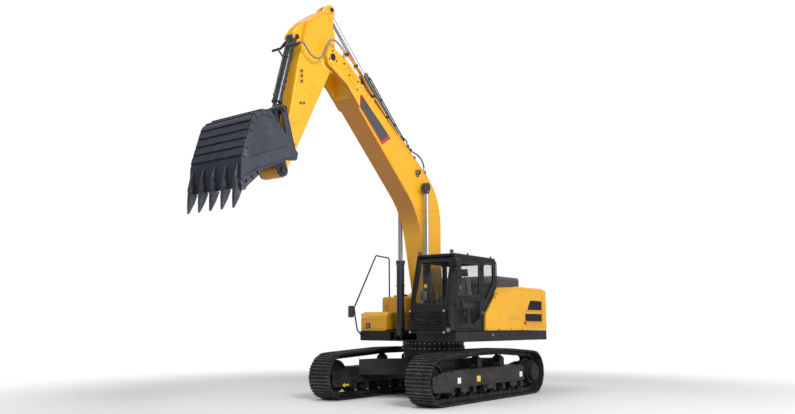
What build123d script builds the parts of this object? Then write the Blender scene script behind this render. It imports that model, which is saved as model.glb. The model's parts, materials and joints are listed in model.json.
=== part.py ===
"""Crawler excavator, built from its separate pieces.

Frame: millimetres, +X towards the machine's front, +Y towards its left (cab) side, +Z up.
The origin is on the ground, on the swing axis. The attachment stands raised, as parked.
"""
from build123d import *
from math import hypot, pi, radians, sqrt, tan
import os

os.makedirs("parts", exist_ok=True)

# ---------------------------------------------------------------- driving dimensions
# Clearances
PIN_GAP = 0.3            # radial gap of a hinge pin in its bore
SIDE_GAP = 6             # between an eye and the ears beside it
PANEL_GAP = 8            # between neighbouring body panels
SEAT_GAP = 1             # between pieces that only stand on each other

# Undercarriage
GAUGE = 2590             # between the centre lines of the two tracks
WHEELBASE = 4040         # idler axle to sprocket axle
SHOE_WIDTH = 600
TRACK_RADIUS = 505       # wheel centre to the tips of the grousers
SHOE_PITCH = 216
SHOE_PLATE = 12
GROUSER = 26
LINK_HEIGHT = 100
LINK_WIDTH = 200
WHEEL_WIDTH = 150
ROLLER_RADIUS = 95
ROLLERS_PER_SIDE = 8
ROLLER_SPAN = 3000
CARRIER_RADIUS = 85
CARRIER_X = (270, -730)
CARRIER_TOP = 948        # top of the carrier rollers
CHAIN_CLEARANCE = 8      # between the carrier rollers and the chain
FRAME_BOTTOM = 340       # underside of a track frame
FRAME_TOP = 690
FRAME_WIDTH = 410
LEG_BOTTOM = 510
LEG_TOP = 850
PEDESTAL_RADIUS = 690
PEDESTAL_TOP = 1040
RING_OUTER = 725
RING_INNER = 560
RING_SPLIT = 1150        # height of the swing bearing's running gap

# Revolving deck
DECK_BOTTOM = 1257
DECK_TOP = 1487
DECK_HALF_WIDTH = 1490
DECK_PLATE = 30
SKIRT_THICK = 90
CAB_DECK_FRONT = 1380    # front edge of the deck under the cab
RIGHT_DECK_FRONT = 870
CENTRE_DECK_FRONT = 980
BODY_REAR = -2740        # where the counterweight starts
TAIL_RADIUS = 3350
HOOD_TOP = 2510
HOOD_LOW_TOP = 2350      # lower shelf of the hood, just behind the cab
COVER_TOP = 2810
PANEL = 40               # thickness of the body's side panels and doors

# Cab
CAB_RIGHT = 492
CAB_LEFT = 1490
CAB_BOTTOM = 1495
CAB_TOP = 3060
CAB_ROOF = 60
CAB_WALL = 55
GLASS = 8

# Boom foot, arm pivot and bucket pin (X, Z), in the parked pose
BOOM_FOOT = (150, 1950)
ARM_PIVOT = (3985, 6918)
BUCKET_PIN = (5240, 4390)
BOOM_HALF = 240          # half the width of the boom
ARM_HALF = 200
EAR_IN = 268             # inner face of the deck's ears for the boom foot
EAR = 40
BIG_PIN = 60
SMALL_PIN = 45

# Boom cylinders
BOOM_CYL_FOOT = (785, 1400)
BOOM_CYL_EYE = (800, 4735)
BOOM_CYL_Y = 368
BOOM_CYL_R = 90
BOOM_ROD_R = 52
BOOM_BARREL = 1680       # foot pin to the end of the barrel

# Arm cylinder
ARM_CYL_BASE = (1180, 5609)
ARM_CYL_EYE = (3850, 8012)
ARM_CYL_R = 98
ARM_ROD_R = 58
ARM_BARREL = 2010

# Bucket cylinder and linkage
BUCKET_CYL_TOP = (4838, 7112)
ROCKER_PIN = (5020, 4880)
KNUCKLE = (5242, 5548)
LINK_PIN = (5390, 4864)
BUCKET_CYL_R = 84
BUCKET_ROD_R = 50
BUCKET_BARREL = 1440
ROCKER_Y = 208           # inner face of each rocker plate
ROCKER_THICK = 32

# Bucket
BUCKET_HALF = 645
BUCKET_SIDE = 32
BUCKET_SKIN = 24
BUCKET_EAR_IN = 215
BUCKET_EAR = 45
TEETH = 5

# Free hoses: radius, and the routes' points (X, Z), each in a plane Y = constant
ARM_HOSE_R = 18
ARM_HOSE_Y = 335
ARM_HOSE = [(4975, 6900), (4925, 6935), (4865, 6925), (4805, 6880), (4704, 6782), (4569, 6723), (4444, 6737),
            (4320, 6824), (4230, 6991), (4175, 7134), (4110, 7228), (4005, 7268), (3890, 7248), (3785, 7190)]
BOOM_HOSE_R = 16
BOOM_HOSE_Y = 150
BOOM_HOSE_UPPER = [(1547, 5857), (1440, 5823), (1340, 5800), (1262, 5757), (1214, 5694)]
BOOM_HOSE_LOWER = [(1065, 5585), (965, 5543), (832, 5523), (731, 5477), (649, 5428), (601, 5360), (568, 5291),
                   (548, 5201)]
FITTING = 40             # length of a hose's end fitting
FITTING_WALL = 7         # a fitting's radius over its hose's


# ---------------------------------------------------------------- helpers
def side(y):
    """The plane Y = y, drawn on in X and Z, whose normal points to the right (-Y)."""
    return Plane(origin=(0, y, 0), x_dir=(1, 0, 0), z_dir=(0, -1, 0))


def top(z):
    """The plane Z = z, drawn on in X and Y."""
    return Plane.XY.offset(z)


def front(x):
    """The plane X = x, drawn on in Y and Z, whose normal points forward."""
    return Plane(origin=(x, 0, 0), x_dir=(0, 1, 0), z_dir=(1, 0, 0))


def outline(plane, points, radius=0):
    """A closed face through the points, its corners rounded by one radius or by a list of them."""
    with BuildSketch(plane) as face:
        with BuildLine():
            if radius:
                FilletPolyline(*points, radius=radius, close=True)
            else:
                Polyline(*points, close=True)
        make_face()
    return face.sketch


def plate(points, y_low, y_high, radius=0, mode=Mode.ADD):
    """A side plate of the X-Z outline, between two values of Y."""
    return extrude(outline(side(y_high), points, radius), amount=y_high - y_low, mode=mode)


def slab(points, z_low, z_high, radius=0, mode=Mode.ADD):
    """A level slab of the X-Y outline, between two heights."""
    return extrude(outline(top(z_low), points, radius), amount=z_high - z_low, mode=mode)


def block(x, y, z, mode=Mode.ADD):
    """A box between the pairs x, y and z, each (low, high)."""
    centre = ((x[0] + x[1]) / 2, (y[0] + y[1]) / 2, (z[0] + z[1]) / 2)
    with Locations(centre):
        return Box(x[1] - x[0], y[1] - y[0], z[1] - z[0], mode=mode)


def cross_pin(at, radius, y_low, y_high, mode=Mode.ADD):
    """A round bar or bore along Y through the X-Z point at."""
    with Locations(Location((at[0], (y_low + y_high) / 2, at[1]), (90, 0, 0))):
        return Cylinder(radius, y_high - y_low, mode=mode)


def upright(at, radius, z_low, z_high, mode=Mode.ADD):
    """A round bar or bore along Z at the X-Y point at."""
    with Locations((at[0], at[1], (z_low + z_high) / 2)):
        return Cylinder(radius, z_high - z_low, mode=mode)


def both_sides(y_low, y_high):
    """The stretch y_low to y_high on the left, and its mirror on the right."""
    return (y_low, y_high), (-y_high, -y_low)


def toward(start, end, distance, across=0):
    """The X-Z point at a distance from start towards end, and across to the left of that line."""
    length = hypot(end[0] - start[0], end[1] - start[1])
    ux, uz = (end[0] - start[0]) / length, (end[1] - start[1]) / length
    return (start[0] + ux * distance - uz * across, start[1] + uz * distance + ux * across)


def bar(start, end, first, last, radius, y, mode=Mode.ADD):
    """A round bar on the line from start to end in X-Z, between two distances from start."""
    a, b = toward(start, end, first), toward(start, end, last)
    plane = Plane(origin=(a[0], y, a[1]), x_dir=(0, 1, 0), z_dir=(b[0] - a[0], 0, b[1] - a[1]))
    with BuildSketch(plane) as disc:
        Circle(radius)
    return extrude(disc.sketch, amount=last - first, mode=mode)


def save(part, name):
    """Label a finished piece and write its STEP file."""
    part.label = name
    export_step(part, f"parts/{name}.step")


# ---------------------------------------------------------------- tracks
WHEEL_X = WHEELBASE / 2
SHOE_FACE = TRACK_RADIUS - GROUSER - SHOE_PLATE     # wheel centre to the top of the links
CHORD_DIP = SHOE_FACE - sqrt(SHOE_FACE ** 2 - (SHOE_PITCH / 2) ** 2)    # a shoe's chord, inside its arc
WHEEL_RADIUS = SHOE_FACE - LINK_HEIGHT - CHORD_DIP - SEAT_GAP
CARRIER_Z = CARRIER_TOP - CARRIER_RADIUS


def chain_joints():
    """The chain's joints (x, z), a shoe apart, on a taut loop over wheels and carrier rollers."""
    carry = CARRIER_RADIUS + LINK_HEIGHT + CHAIN_CLEARANCE
    with BuildSketch() as loop:
        with BuildLine():
            for x, z, r in ((WHEEL_X, TRACK_RADIUS, SHOE_FACE), (-WHEEL_X, TRACK_RADIUS, SHOE_FACE),
                            (CARRIER_X[0], CARRIER_Z, carry), (CARRIER_X[1], CARRIER_Z, carry)):
                CenterArc((x, z), r, 0, 360)
        make_hull()
    wire = loop.sketch.faces()[0].outer_wire()
    count = round(wire.length / SHOE_PITCH)
    points = [wire.position_at(i / count) for i in range(count)]
    joints = [(p.X, p.Y) for p in points]
    area = sum(a[0] * b[1] - b[0] * a[1] for a, b in zip(joints, joints[1:] + joints[:1]))
    return joints if area > 0 else joints[::-1]


def shoe_outline(joints):
    """The loop's outer edge: for each shoe, a plate with three grousers, standing outwards."""
    points = []
    for a, b in zip(joints, joints[1:] + joints[:1]):
        length = hypot(b[0] - a[0], b[1] - a[1])
        tx, tz = (b[0] - a[0]) / length, (b[1] - a[1]) / length
        steps = [(0.0, SHOE_PLATE / 3)]
        for share in (0.14, 0.5, 0.86):
            centre = share * length
            steps += [(centre - 15, SHOE_PLATE), (centre - 8, SHOE_PLATE + GROUSER),
                      (centre + 8, SHOE_PLATE + GROUSER), (centre + 15, SHOE_PLATE)]
        points += [(a[0] + tx * t + tz * h, a[1] + tz * t - tx * h) for t, h in steps]
    return points


def inside(joints, depth):
    """The chain's joints moved inwards by a depth."""
    moved = []
    for before, at, after in zip(joints[-1:] + joints[:-1], joints, joints[1:] + joints[:1]):
        length = hypot(after[0] - before[0], after[1] - before[1])
        nx, nz = (after[1] - before[1]) / length, -(after[0] - before[0]) / length
        moved.append((at[0] - nx * depth, at[1] - nz * depth))
    return moved


JOINTS = chain_joints()
for label, centre_y in (("left_track", GAUGE / 2), ("right_track", -GAUGE / 2)):
    low, high = centre_y - SHOE_WIDTH / 2, centre_y + SHOE_WIDTH / 2
    with BuildPart() as chain:
        plate(inside(JOINTS, 1), centre_y - LINK_WIDTH / 2, centre_y + LINK_WIDTH / 2)
        plate(inside(JOINTS, LINK_HEIGHT), centre_y - LINK_WIDTH / 2, centre_y + LINK_WIDTH / 2,
              mode=Mode.SUBTRACT)
    with BuildPart() as track:
        plate(shoe_outline(JOINTS), low, high)
        plate(inside(JOINTS, 4), low, high, mode=Mode.SUBTRACT)
        add(chain.part)
    save(track.part, label)
print("shoes on each track:", len(JOINTS))

# ---------------------------------------------------------------- wheels, rollers and final drives
with BuildPart() as idlers:
    for centre_y in (GAUGE / 2, -GAUGE / 2):
        wheel = (WHEEL_X, TRACK_RADIUS)
        half = WHEEL_WIDTH / 2
        cross_pin(wheel, WHEEL_RADIUS, centre_y - half, centre_y + half)
        for low, high in ((centre_y - half, centre_y - half + 45), (centre_y + half - 45, centre_y + half)):
            cross_pin(wheel, WHEEL_RADIUS - 55, low, high, mode=Mode.SUBTRACT)
        cross_pin(wheel, 110, centre_y - 90, centre_y + 90)
save(idlers.part, "front_idlers")

SPROCKET_TEETH = 22
with BuildPart() as sprockets:
    for centre_y in (GAUGE / 2, -GAUGE / 2):
        wheel = (-WHEEL_X, TRACK_RADIUS)
        cross_pin(wheel, WHEEL_RADIUS - 42, centre_y - 40, centre_y + 40)
        with BuildSketch(side(centre_y + 40)) as teeth:
            with Locations(wheel):
                with PolarLocations(WHEEL_RADIUS - 42, SPROCKET_TEETH):
                    Trapezoid(60, 70, 75, rotation=-90)
        extrude(amount=80)
        cross_pin(wheel, 250, centre_y - 40, centre_y + 40, mode=Mode.SUBTRACT)
save(sprockets.part, "drive_sprockets")

DRIVE_NECK = 120
with BuildPart() as drives:
    for sign in (1, -1):
        wheel = (-WHEEL_X, TRACK_RADIUS)
        motor = -FRAME_WIDTH / 2 - SEAT_GAP
        steps = ((180, -380, motor), (DRIVE_NECK, motor - 1, -60), (245, -61, 60), (262, 60, 195),
                 (205, 195, 276),
                 (190, 276, 290))
        for radius, low, high in steps:
            ends = sorted((sign * (GAUGE / 2 + low), sign * (GAUGE / 2 + high)))
            cross_pin(wheel, radius, *ends)
save(drives.part, "final_drives")

with BuildPart() as rollers:
    for centre_y in (GAUGE / 2, -GAUGE / 2):
        z = GROUSER + SHOE_PLATE + LINK_HEIGHT + ROLLER_RADIUS + SEAT_GAP
        for i in range(ROLLERS_PER_SIDE):
            x = ROLLER_SPAN * (i / (ROLLERS_PER_SIDE - 1) - 0.5)
            cross_pin((x, z), ROLLER_RADIUS - 18, centre_y - 125, centre_y + 125)
            for low, high in ((-120, -25), (25, 120)):
                cross_pin((x, z), ROLLER_RADIUS, centre_y + low, centre_y + high)
            cross_pin((x, z), 38, centre_y - 175, centre_y + 175)
            for low, high in ((-190, -145), (145, 190)):
                block((x - 60, x + 60), (centre_y + low, centre_y + high), (z - 45, FRAME_BOTTOM - SEAT_GAP))
save(rollers.part, "bottom_rollers")

with BuildPart() as carriers:
    for centre_y in (GAUGE / 2, -GAUGE / 2):
        for x in CARRIER_X:
            cross_pin((x, CARRIER_Z), CARRIER_RADIUS, centre_y - 60, centre_y + 60)
            cross_pin((x, CARRIER_Z), 35, centre_y - 100, centre_y + 100)
            for low, high in ((-105, -75), (75, 105)):
                plate([(x - 90, FRAME_TOP + SEAT_GAP), (x + 90, FRAME_TOP + SEAT_GAP),
                       (x + 62, CARRIER_Z + 45),
                       (x - 62, CARRIER_Z + 45)], centre_y + low, centre_y + high,
                      radius=[1, 1, 40, 40])
            block((x - 90, x + 90), (centre_y - 105, centre_y + 105), (FRAME_TOP + SEAT_GAP, FRAME_TOP + 20))
save(carriers.part, "carrier_rollers")

# ---------------------------------------------------------------- track frames
BEAM_FRONT = WHEEL_X - WHEEL_RADIUS - 60
BEAM_REAR = -(WHEEL_X - WHEEL_RADIUS - 60)
for label, sign in (("left_track_frame", 1), ("right_track_frame", -1)):
    centre_y = sign * GAUGE / 2
    half = FRAME_WIDTH / 2
    with BuildPart() as frame:
        plate([(BEAM_REAR, FRAME_BOTTOM), (BEAM_FRONT, FRAME_BOTTOM), (BEAM_FRONT, 600),
               (BEAM_FRONT - 130, FRAME_TOP),
               (BEAM_REAR + 130, FRAME_TOP), (BEAM_REAR, 640)], centre_y - half, centre_y + half)
        # yoke plates that carry the idler
        for low, high in both_sides(half - 85, half):
            plate([(BEAM_FRONT - 20, 345), (WHEEL_X + 250, 400), (WHEEL_X + 250, 600),
                   (BEAM_FRONT - 20, 640)],
                  centre_y + low, centre_y + high, radius=[10, 60, 60, 10])
        cross_pin((WHEEL_X, TRACK_RADIUS), 60, centre_y - half, centre_y - 91)
        cross_pin((WHEEL_X, TRACK_RADIUS), 60, centre_y + 91, centre_y + half)
        # rear plate that carries the final drive, on the inner side
        ends = sorted((centre_y - sign * half, centre_y - sign * (half - 65)))
        plate([(BEAM_REAR + 40, FRAME_BOTTOM), (BEAM_REAR + 40, FRAME_TOP), (-WHEEL_X + 60, FRAME_TOP + 60),
               (-WHEEL_X - 240, FRAME_TOP), (-WHEEL_X - 240, FRAME_BOTTOM), (-WHEEL_X, 250)],
              *ends, radius=[10, 10, 120, 120, 120, 120])
        cross_pin((-WHEEL_X, TRACK_RADIUS), DRIVE_NECK + SEAT_GAP, ends[0] - 1, ends[1] + 1,
                  mode=Mode.SUBTRACT)
    save(frame.part, label)

# ---------------------------------------------------------------- centre frame and swing bearing
INNER_FACE = GAUGE / 2 - FRAME_WIDTH / 2
EYE_RADIUS = 32
with BuildPart() as legs:
    for sx in (1, -1):
        for sy in (1, -1):
            slab([(sx * 80, sy * 300), (sx * 620, sy * 80), (sx * 1400, sy * (INNER_FACE - SEAT_GAP)),
                  (sx * 820, sy * (INNER_FACE - SEAT_GAP))], LEG_BOTTOM, LEG_TOP)
    upright((0, 0), PEDESTAL_RADIUS + SEAT_GAP, LEG_BOTTOM - 1, LEG_TOP + 1, mode=Mode.SUBTRACT)
save(legs.part, "frame_legs")

with BuildPart() as centre_frame:
    upright((0, 0), PEDESTAL_RADIUS, LEG_BOTTOM, PEDESTAL_TOP)
    for sx in (1, -1):
        slab([(sx * 540, -70), (sx * 860, -70), (sx * 860, 70), (sx * 540, 70)],
             LEG_BOTTOM + 70, LEG_BOTTOM + 130, radius=[1, 50, 50, 1])
        upright((sx * 790, 0), EYE_RADIUS, LEG_BOTTOM + 69, LEG_BOTTOM + 131, mode=Mode.SUBTRACT)
    upright((0, 0), RING_INNER - 40, LEG_TOP + 40, PEDESTAL_TOP + 1, mode=Mode.SUBTRACT)
save(centre_frame.part, "centre_frame")

with BuildPart() as ring_low:
    upright((0, 0), RING_OUTER, PEDESTAL_TOP + SEAT_GAP, RING_SPLIT - SIDE_GAP)
    upright((0, 0), RING_INNER, PEDESTAL_TOP, RING_SPLIT, mode=Mode.SUBTRACT)
save(ring_low.part, "slew_ring_lower")

with BuildPart() as ring_high:
    upright((0, 0), RING_OUTER - 15, RING_SPLIT, DECK_BOTTOM - SEAT_GAP)
    upright((0, 0), RING_INNER, RING_SPLIT - 1, DECK_BOTTOM, mode=Mode.SUBTRACT)
save(ring_high.part, "slew_ring_upper")

# ---------------------------------------------------------------- revolving frame
INNER_SKIRT = DECK_HALF_WIDTH - SKIRT_THICK
OUTER_LUG = BOOM_CYL_Y + 94
with BuildPart() as deck:
    slab([(CENTRE_DECK_FRONT, -600), (CENTRE_DECK_FRONT, 500), (CAB_DECK_FRONT - 40, 500),
          (CAB_DECK_FRONT - 40, INNER_SKIRT - 2), (BODY_REAR, INNER_SKIRT - 2), (BODY_REAR, -INNER_SKIRT + 2),
          (RIGHT_DECK_FRONT - 40, -INNER_SKIRT + 2), (RIGHT_DECK_FRONT - 40, -600)],
         DECK_BOTTOM, DECK_BOTTOM + DECK_PLATE)
    for y in both_sides(EAR_IN, EAR_IN + EAR):
        plate([(-1000, DECK_BOTTOM + 5), (-1000, DECK_TOP - 30), (-620, 1700),
               (BOOM_FOOT[0] - 190, BOOM_FOOT[1] + 190),
               (BOOM_FOOT[0] + 190, BOOM_FOOT[1] + 190), (BOOM_FOOT[0] + 210, BOOM_FOOT[1] - 120),
               (560, 1500),
               (BOOM_CYL_FOOT[0] + 95, BOOM_CYL_FOOT[1] + 95), (BOOM_CYL_FOOT[0] + 95, DECK_BOTTOM + 5)], *y,
              radius=[1, 20, 200, 185, 150, 100, 60, 90, 1])
        cross_pin(BOOM_FOOT, 150, *y)
    for y in both_sides(OUTER_LUG - EAR, OUTER_LUG):
        plate([(BOOM_CYL_FOOT[0] - 160, DECK_BOTTOM + 5), (BOOM_CYL_FOOT[0] - 95, BOOM_CYL_FOOT[1] + 95),
               (BOOM_CYL_FOOT[0] + 95, BOOM_CYL_FOOT[1] + 95), (BOOM_CYL_FOOT[0] + 140, DECK_BOTTOM + 5)], *y,
              radius=[1, 80, 80, 1])
    for y in both_sides(EAR_IN, EAR_IN + EAR):
        block((BODY_REAR, -990), y, (DECK_BOTTOM + 5, DECK_TOP - 30))
    for x in (-2500, -1000, -60):
        block((x - 15, x + 15), (-EAR_IN - 1, EAR_IN + 1), (DECK_BOTTOM + 5, DECK_TOP - 30))
    cross_pin(BOOM_FOOT, BIG_PIN, -EAR_IN - EAR - 12, EAR_IN + EAR + 12)
    for y in both_sides(EAR_IN - 8, OUTER_LUG + 6):
        cross_pin(BOOM_CYL_FOOT, SMALL_PIN, *y)
save(deck.part, "revolving_frame")

with BuildPart() as deck_plates:
    slab([(CAB_DECK_FRONT - 42, CAB_RIGHT), (CAB_DECK_FRONT - 42, INNER_SKIRT - 2),
          (BODY_REAR, INNER_SKIRT - 2),
          (BODY_REAR, EAR_IN + EAR + 2), (560, EAR_IN + EAR + 2), (560, CAB_RIGHT)], DECK_TOP - 25, DECK_TOP)
    slab([(RIGHT_DECK_FRONT - 42, -INNER_SKIRT + 2), (RIGHT_DECK_FRONT - 42, -CAB_RIGHT - 60),
          (560, -CAB_RIGHT - 60),
          (560, -EAR_IN - EAR - 2), (BODY_REAR, -EAR_IN - EAR - 2), (BODY_REAR, -INNER_SKIRT + 2)],
         DECK_TOP - 25, DECK_TOP)
    slab([(BODY_REAR, -EAR_IN - EAR), (-1040, -EAR_IN - EAR), (-1040, EAR_IN + EAR),
          (BODY_REAR, EAR_IN + EAR)],
         DECK_TOP - 25, DECK_TOP)
save(deck_plates.part, "deck_plates")


def tail_outline(front_x, radius):
    """The counterweight's plan: straight sides and an arc about the swing axis."""
    half = DECK_HALF_WIDTH
    corner = -(radius ** 2 - half ** 2) ** 0.5
    with BuildSketch(Plane.XY) as face:
        with BuildLine():
            Polyline((corner, half), (front_x, half), (front_x, -half), (corner, -half))
            ThreePointArc((corner, -half), (-radius, 0), (corner, half))
        make_face()
    return face.sketch


with BuildPart() as skirts:
    for low, high, x_front in ((INNER_SKIRT, DECK_HALF_WIDTH, CAB_DECK_FRONT),
                               (-DECK_HALF_WIDTH, -INNER_SKIRT, RIGHT_DECK_FRONT)):
        block((BODY_REAR, x_front), (low, high), (DECK_BOTTOM, DECK_TOP))
    block((CAB_DECK_FRONT - 40, CAB_DECK_FRONT), (CAB_RIGHT, INNER_SKIRT + 1), (DECK_BOTTOM, DECK_TOP))
    block((RIGHT_DECK_FRONT - 40, RIGHT_DECK_FRONT), (-INNER_SKIRT - 1, -602), (DECK_BOTTOM, DECK_TOP))
    outer = [e for e in skirts.edges().filter_by(Axis.X) if abs(abs(e.center().Y) - DECK_HALF_WIDTH) < 1]
    fillet(outer, 35)
save(skirts.part, "side_skirts")

with BuildPart() as tail_base:
    extrude(Plane.XY.offset(DECK_BOTTOM) * tail_outline(BODY_REAR - 2, TAIL_RADIUS - 20),
            amount=DECK_TOP - DECK_BOTTOM)
    fillet(tail_base.edges().filter_by(Axis.Z).sort_by(Axis.X)[:2], 120)
save(tail_base.part, "tail_skirt")

WEIGHT_TOP = HOOD_TOP - 5
LIFT_X, LIFT_Y, LIFT_DEPTH, LIFT_R = -2990, 700, 90, 21
with BuildPart() as weight:
    extrude(Plane.XY.offset(DECK_TOP + PANEL_GAP) * tail_outline(BODY_REAR - PANEL_GAP, TAIL_RADIUS),
            amount=WEIGHT_TOP - DECK_TOP - PANEL_GAP)
    fillet(weight.edges().filter_by(Axis.Z).sort_by(Axis.X)[:2], 140)
    rear_top = weight.faces().sort_by(Axis.Z)[-1].edges().sort_by(Axis.X)[:-1]
    fillet([e for e in rear_top if e.center().X < BODY_REAR - 20], 70)
    for y in (LIFT_Y, -LIFT_Y):
        upright((LIFT_X, y), LIFT_R, WEIGHT_TOP - LIFT_DEPTH, WEIGHT_TOP + 1, mode=Mode.SUBTRACT)
save(weight.part, "counterweight")

# ---------------------------------------------------------------- engine, hood and side panels
PANEL_BOTTOM = DECK_TOP + PANEL_GAP
SHELF_END, STEP_START = -1290, -1030
FRONT_SEAM, REAR_SEAM = -445, -1640
ENGINE = ((-2350, -1500), (-850, 600), (DECK_TOP + SEAT_GAP, 2300))
with BuildPart() as engine:
    block(*ENGINE)
    chamfer(engine.edges().filter_by(Axis.Y), 60)
save(engine.part, "engine_block")

LEFT_IN = DECK_HALF_WIDTH - PANEL
with BuildPart() as front_panel:
    plate([(150, PANEL_BOTTOM), (120, 1855), (-400, HOOD_LOW_TOP), (FRONT_SEAM, HOOD_LOW_TOP),
           (FRONT_SEAM, PANEL_BOTTOM)], LEFT_IN, DECK_HALF_WIDTH)
save(front_panel.part, "left_front_panel")

with BuildPart() as middle_panel:
    plate([(FRONT_SEAM - PANEL_GAP, PANEL_BOTTOM), (FRONT_SEAM - PANEL_GAP, HOOD_LOW_TOP),
           (STEP_START, HOOD_LOW_TOP),
           (SHELF_END, HOOD_TOP), (REAR_SEAM + PANEL_GAP / 2, HOOD_TOP),
           (REAR_SEAM + PANEL_GAP / 2, PANEL_BOTTOM)],
          LEFT_IN, DECK_HALF_WIDTH)
save(middle_panel.part, "left_middle_panel")

DOOR_FRONT = REAR_SEAM - PANEL_GAP / 2
DOOR_REAR = BODY_REAR + 20
VENT_SLATS = 5
HINGE_R = 12             # knuckles of the doors and lids


def side_door(sign, vents):
    """A side door of the engine bay, with its louvred vents cut through."""
    ends = sorted((sign * LEFT_IN, sign * DECK_HALF_WIDTH))
    with BuildPart() as door:
        plate([(DOOR_FRONT, PANEL_BOTTOM), (DOOR_FRONT, HOOD_TOP), (DOOR_REAR, HOOD_TOP),
               (DOOR_REAR, PANEL_BOTTOM)], *ends)
        for low, high, x_front_low, x_front_high, x_rear in vents:
            step = (high - low) / VENT_SLATS
            for i in range(VENT_SLATS):
                z = low + (i + 0.2) * step
                share = (i + 0.5) / VENT_SLATS
                x_front = x_front_low + (x_front_high - x_front_low) * share
                block((x_rear, x_front), (ends[0] - 1, ends[1] + 1), (z, z + 0.6 * step), mode=Mode.SUBTRACT)
        leaf = sorted((sign * (DECK_HALF_WIDTH - 2), sign * (DECK_HALF_WIDTH + 14)))
        for z in (1650, 2380):
            upright((DOOR_REAR - 8, sign * (DECK_HALF_WIDTH + 16)), HINGE_R, z - 60, z + 60)
            block((DOOR_REAR - 6, DOOR_REAR + 50), leaf, (z - 50, z + 50))
    return door.part


VENTS = ((1990, 2200, -1880, -2050, -2690), (1715, 1880, -1770, -1770, -2690))
save(side_door(1, VENTS), "left_rear_door")
save(side_door(-1, VENTS), "right_rear_door")

COVER_X, COVER_Y = (-2690, -1330), (-1000, 900)
with BuildPart() as hood:
    slab([(-1030, -LEFT_IN + 2), (-430, -730), (-430, LEFT_IN - 2), (-1030, LEFT_IN - 2)],
         HOOD_LOW_TOP - PANEL, HOOD_LOW_TOP)
    block((BODY_REAR + 20, SHELF_END), (-LEFT_IN + 2, LEFT_IN - 2), (HOOD_TOP - PANEL, HOOD_TOP))
    plate([(STEP_START + 5, HOOD_LOW_TOP), (SHELF_END - 5, HOOD_TOP), (SHELF_END - 5, HOOD_TOP - PANEL),
           (STEP_START + 5, HOOD_LOW_TOP - PANEL)], -LEFT_IN + 2, LEFT_IN - 2)
    block((COVER_X[0] + 60, COVER_X[1] - 60), (COVER_Y[0] + 60, COVER_Y[1] - 60),
          (HOOD_TOP - PANEL - 1, HOOD_TOP + 1),
          mode=Mode.SUBTRACT)
save(hood.part, "hood_top")

with BuildPart() as cover:
    block(COVER_X, COVER_Y, (HOOD_TOP + PANEL_GAP, COVER_TOP))
    fillet(cover.edges().filter_by(Axis.Z), 90)
    fillet(cover.faces().sort_by(Axis.Z)[-1].edges(), 60)
    offset(amount=-25, openings=cover.faces().sort_by(Axis.Z)[0])
    for y in (COVER_Y[0] + 300, COVER_Y[1] - 300):
        cross_pin((COVER_X[0] - 10, HOOD_TOP + 20), HINGE_R, y - 60, y + 60)
save(cover.part, "engine_cover")

# ---------------------------------------------------------------- right side
TANK_IN = -730
TANK_FRONT, TANK_REAR = 56, -1020
with BuildPart() as tank:
    block((TANK_REAR, TANK_FRONT), (-DECK_HALF_WIDTH, TANK_IN), (DECK_TOP + SEAT_GAP, 2300))
    fillet(tank.edges().filter_by(Axis.X).group_by(Axis.Z)[-1], 60)
    fillet(tank.faces().sort_by(Axis.X)[-1].edges().filter_by(Axis.Z), 60)
    upright((-450, -1150), 70, 2299, 2335)
save(tank.part, "fuel_tank")

with BuildPart() as oil_tank:
    block((-1632, TANK_REAR - PANEL_GAP), (-DECK_HALF_WIDTH, -880),
          (DECK_TOP + SEAT_GAP, HOOD_LOW_TOP - PANEL - 8))
    fillet(oil_tank.edges().filter_by(Axis.Z).group_by(Axis.Y)[0], 30)
save(oil_tank.part, "hydraulic_tank")

BOX_FRONT, BOX_REAR, BOX_TOP, BOX_SPLIT = RIGHT_DECK_FRONT - 5, TANK_FRONT + 20, 1936, 1800
BOX_WALL = 20
with BuildPart() as box_whole:
    plate([(BOX_REAR, DECK_TOP + SEAT_GAP), (BOX_FRONT, DECK_TOP + SEAT_GAP), (BOX_FRONT, BOX_TOP - 20),
           (BOX_REAR, BOX_TOP)],
          -DECK_HALF_WIDTH, TANK_IN, radius=[1, 1, 150, 1])
    fillet(box_whole.edges().filter_by(Axis.Z).group_by(Axis.X)[-1], 40)
    plate([(BOX_REAR + BOX_WALL, DECK_TOP + SEAT_GAP + BOX_WALL),
           (BOX_FRONT - BOX_WALL, DECK_TOP + SEAT_GAP + BOX_WALL),
           (BOX_FRONT - BOX_WALL, BOX_TOP - 20 - BOX_WALL), (BOX_REAR + BOX_WALL, BOX_TOP - BOX_WALL)],
          -DECK_HALF_WIDTH + BOX_WALL, TANK_IN - BOX_WALL, radius=[1, 1, 130, 1], mode=Mode.SUBTRACT)
with BuildPart() as tool_box:
    add(box_whole.part)
    split(bisect_by=Plane.XY.offset(BOX_SPLIT), keep=Keep.BOTTOM)
with BuildPart() as box_lid:
    add(box_whole.part)
    split(bisect_by=Plane.XY.offset(BOX_SPLIT + SIDE_GAP), keep=Keep.TOP)
    for y in (-DECK_HALF_WIDTH + 160, TANK_IN - 160):
        cross_pin((BOX_REAR + 4, BOX_TOP + 9), HINGE_R, y - 60, y + 60)
save(tool_box.part, "tool_box")
save(box_lid.part, "tool_box_lid")

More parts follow.
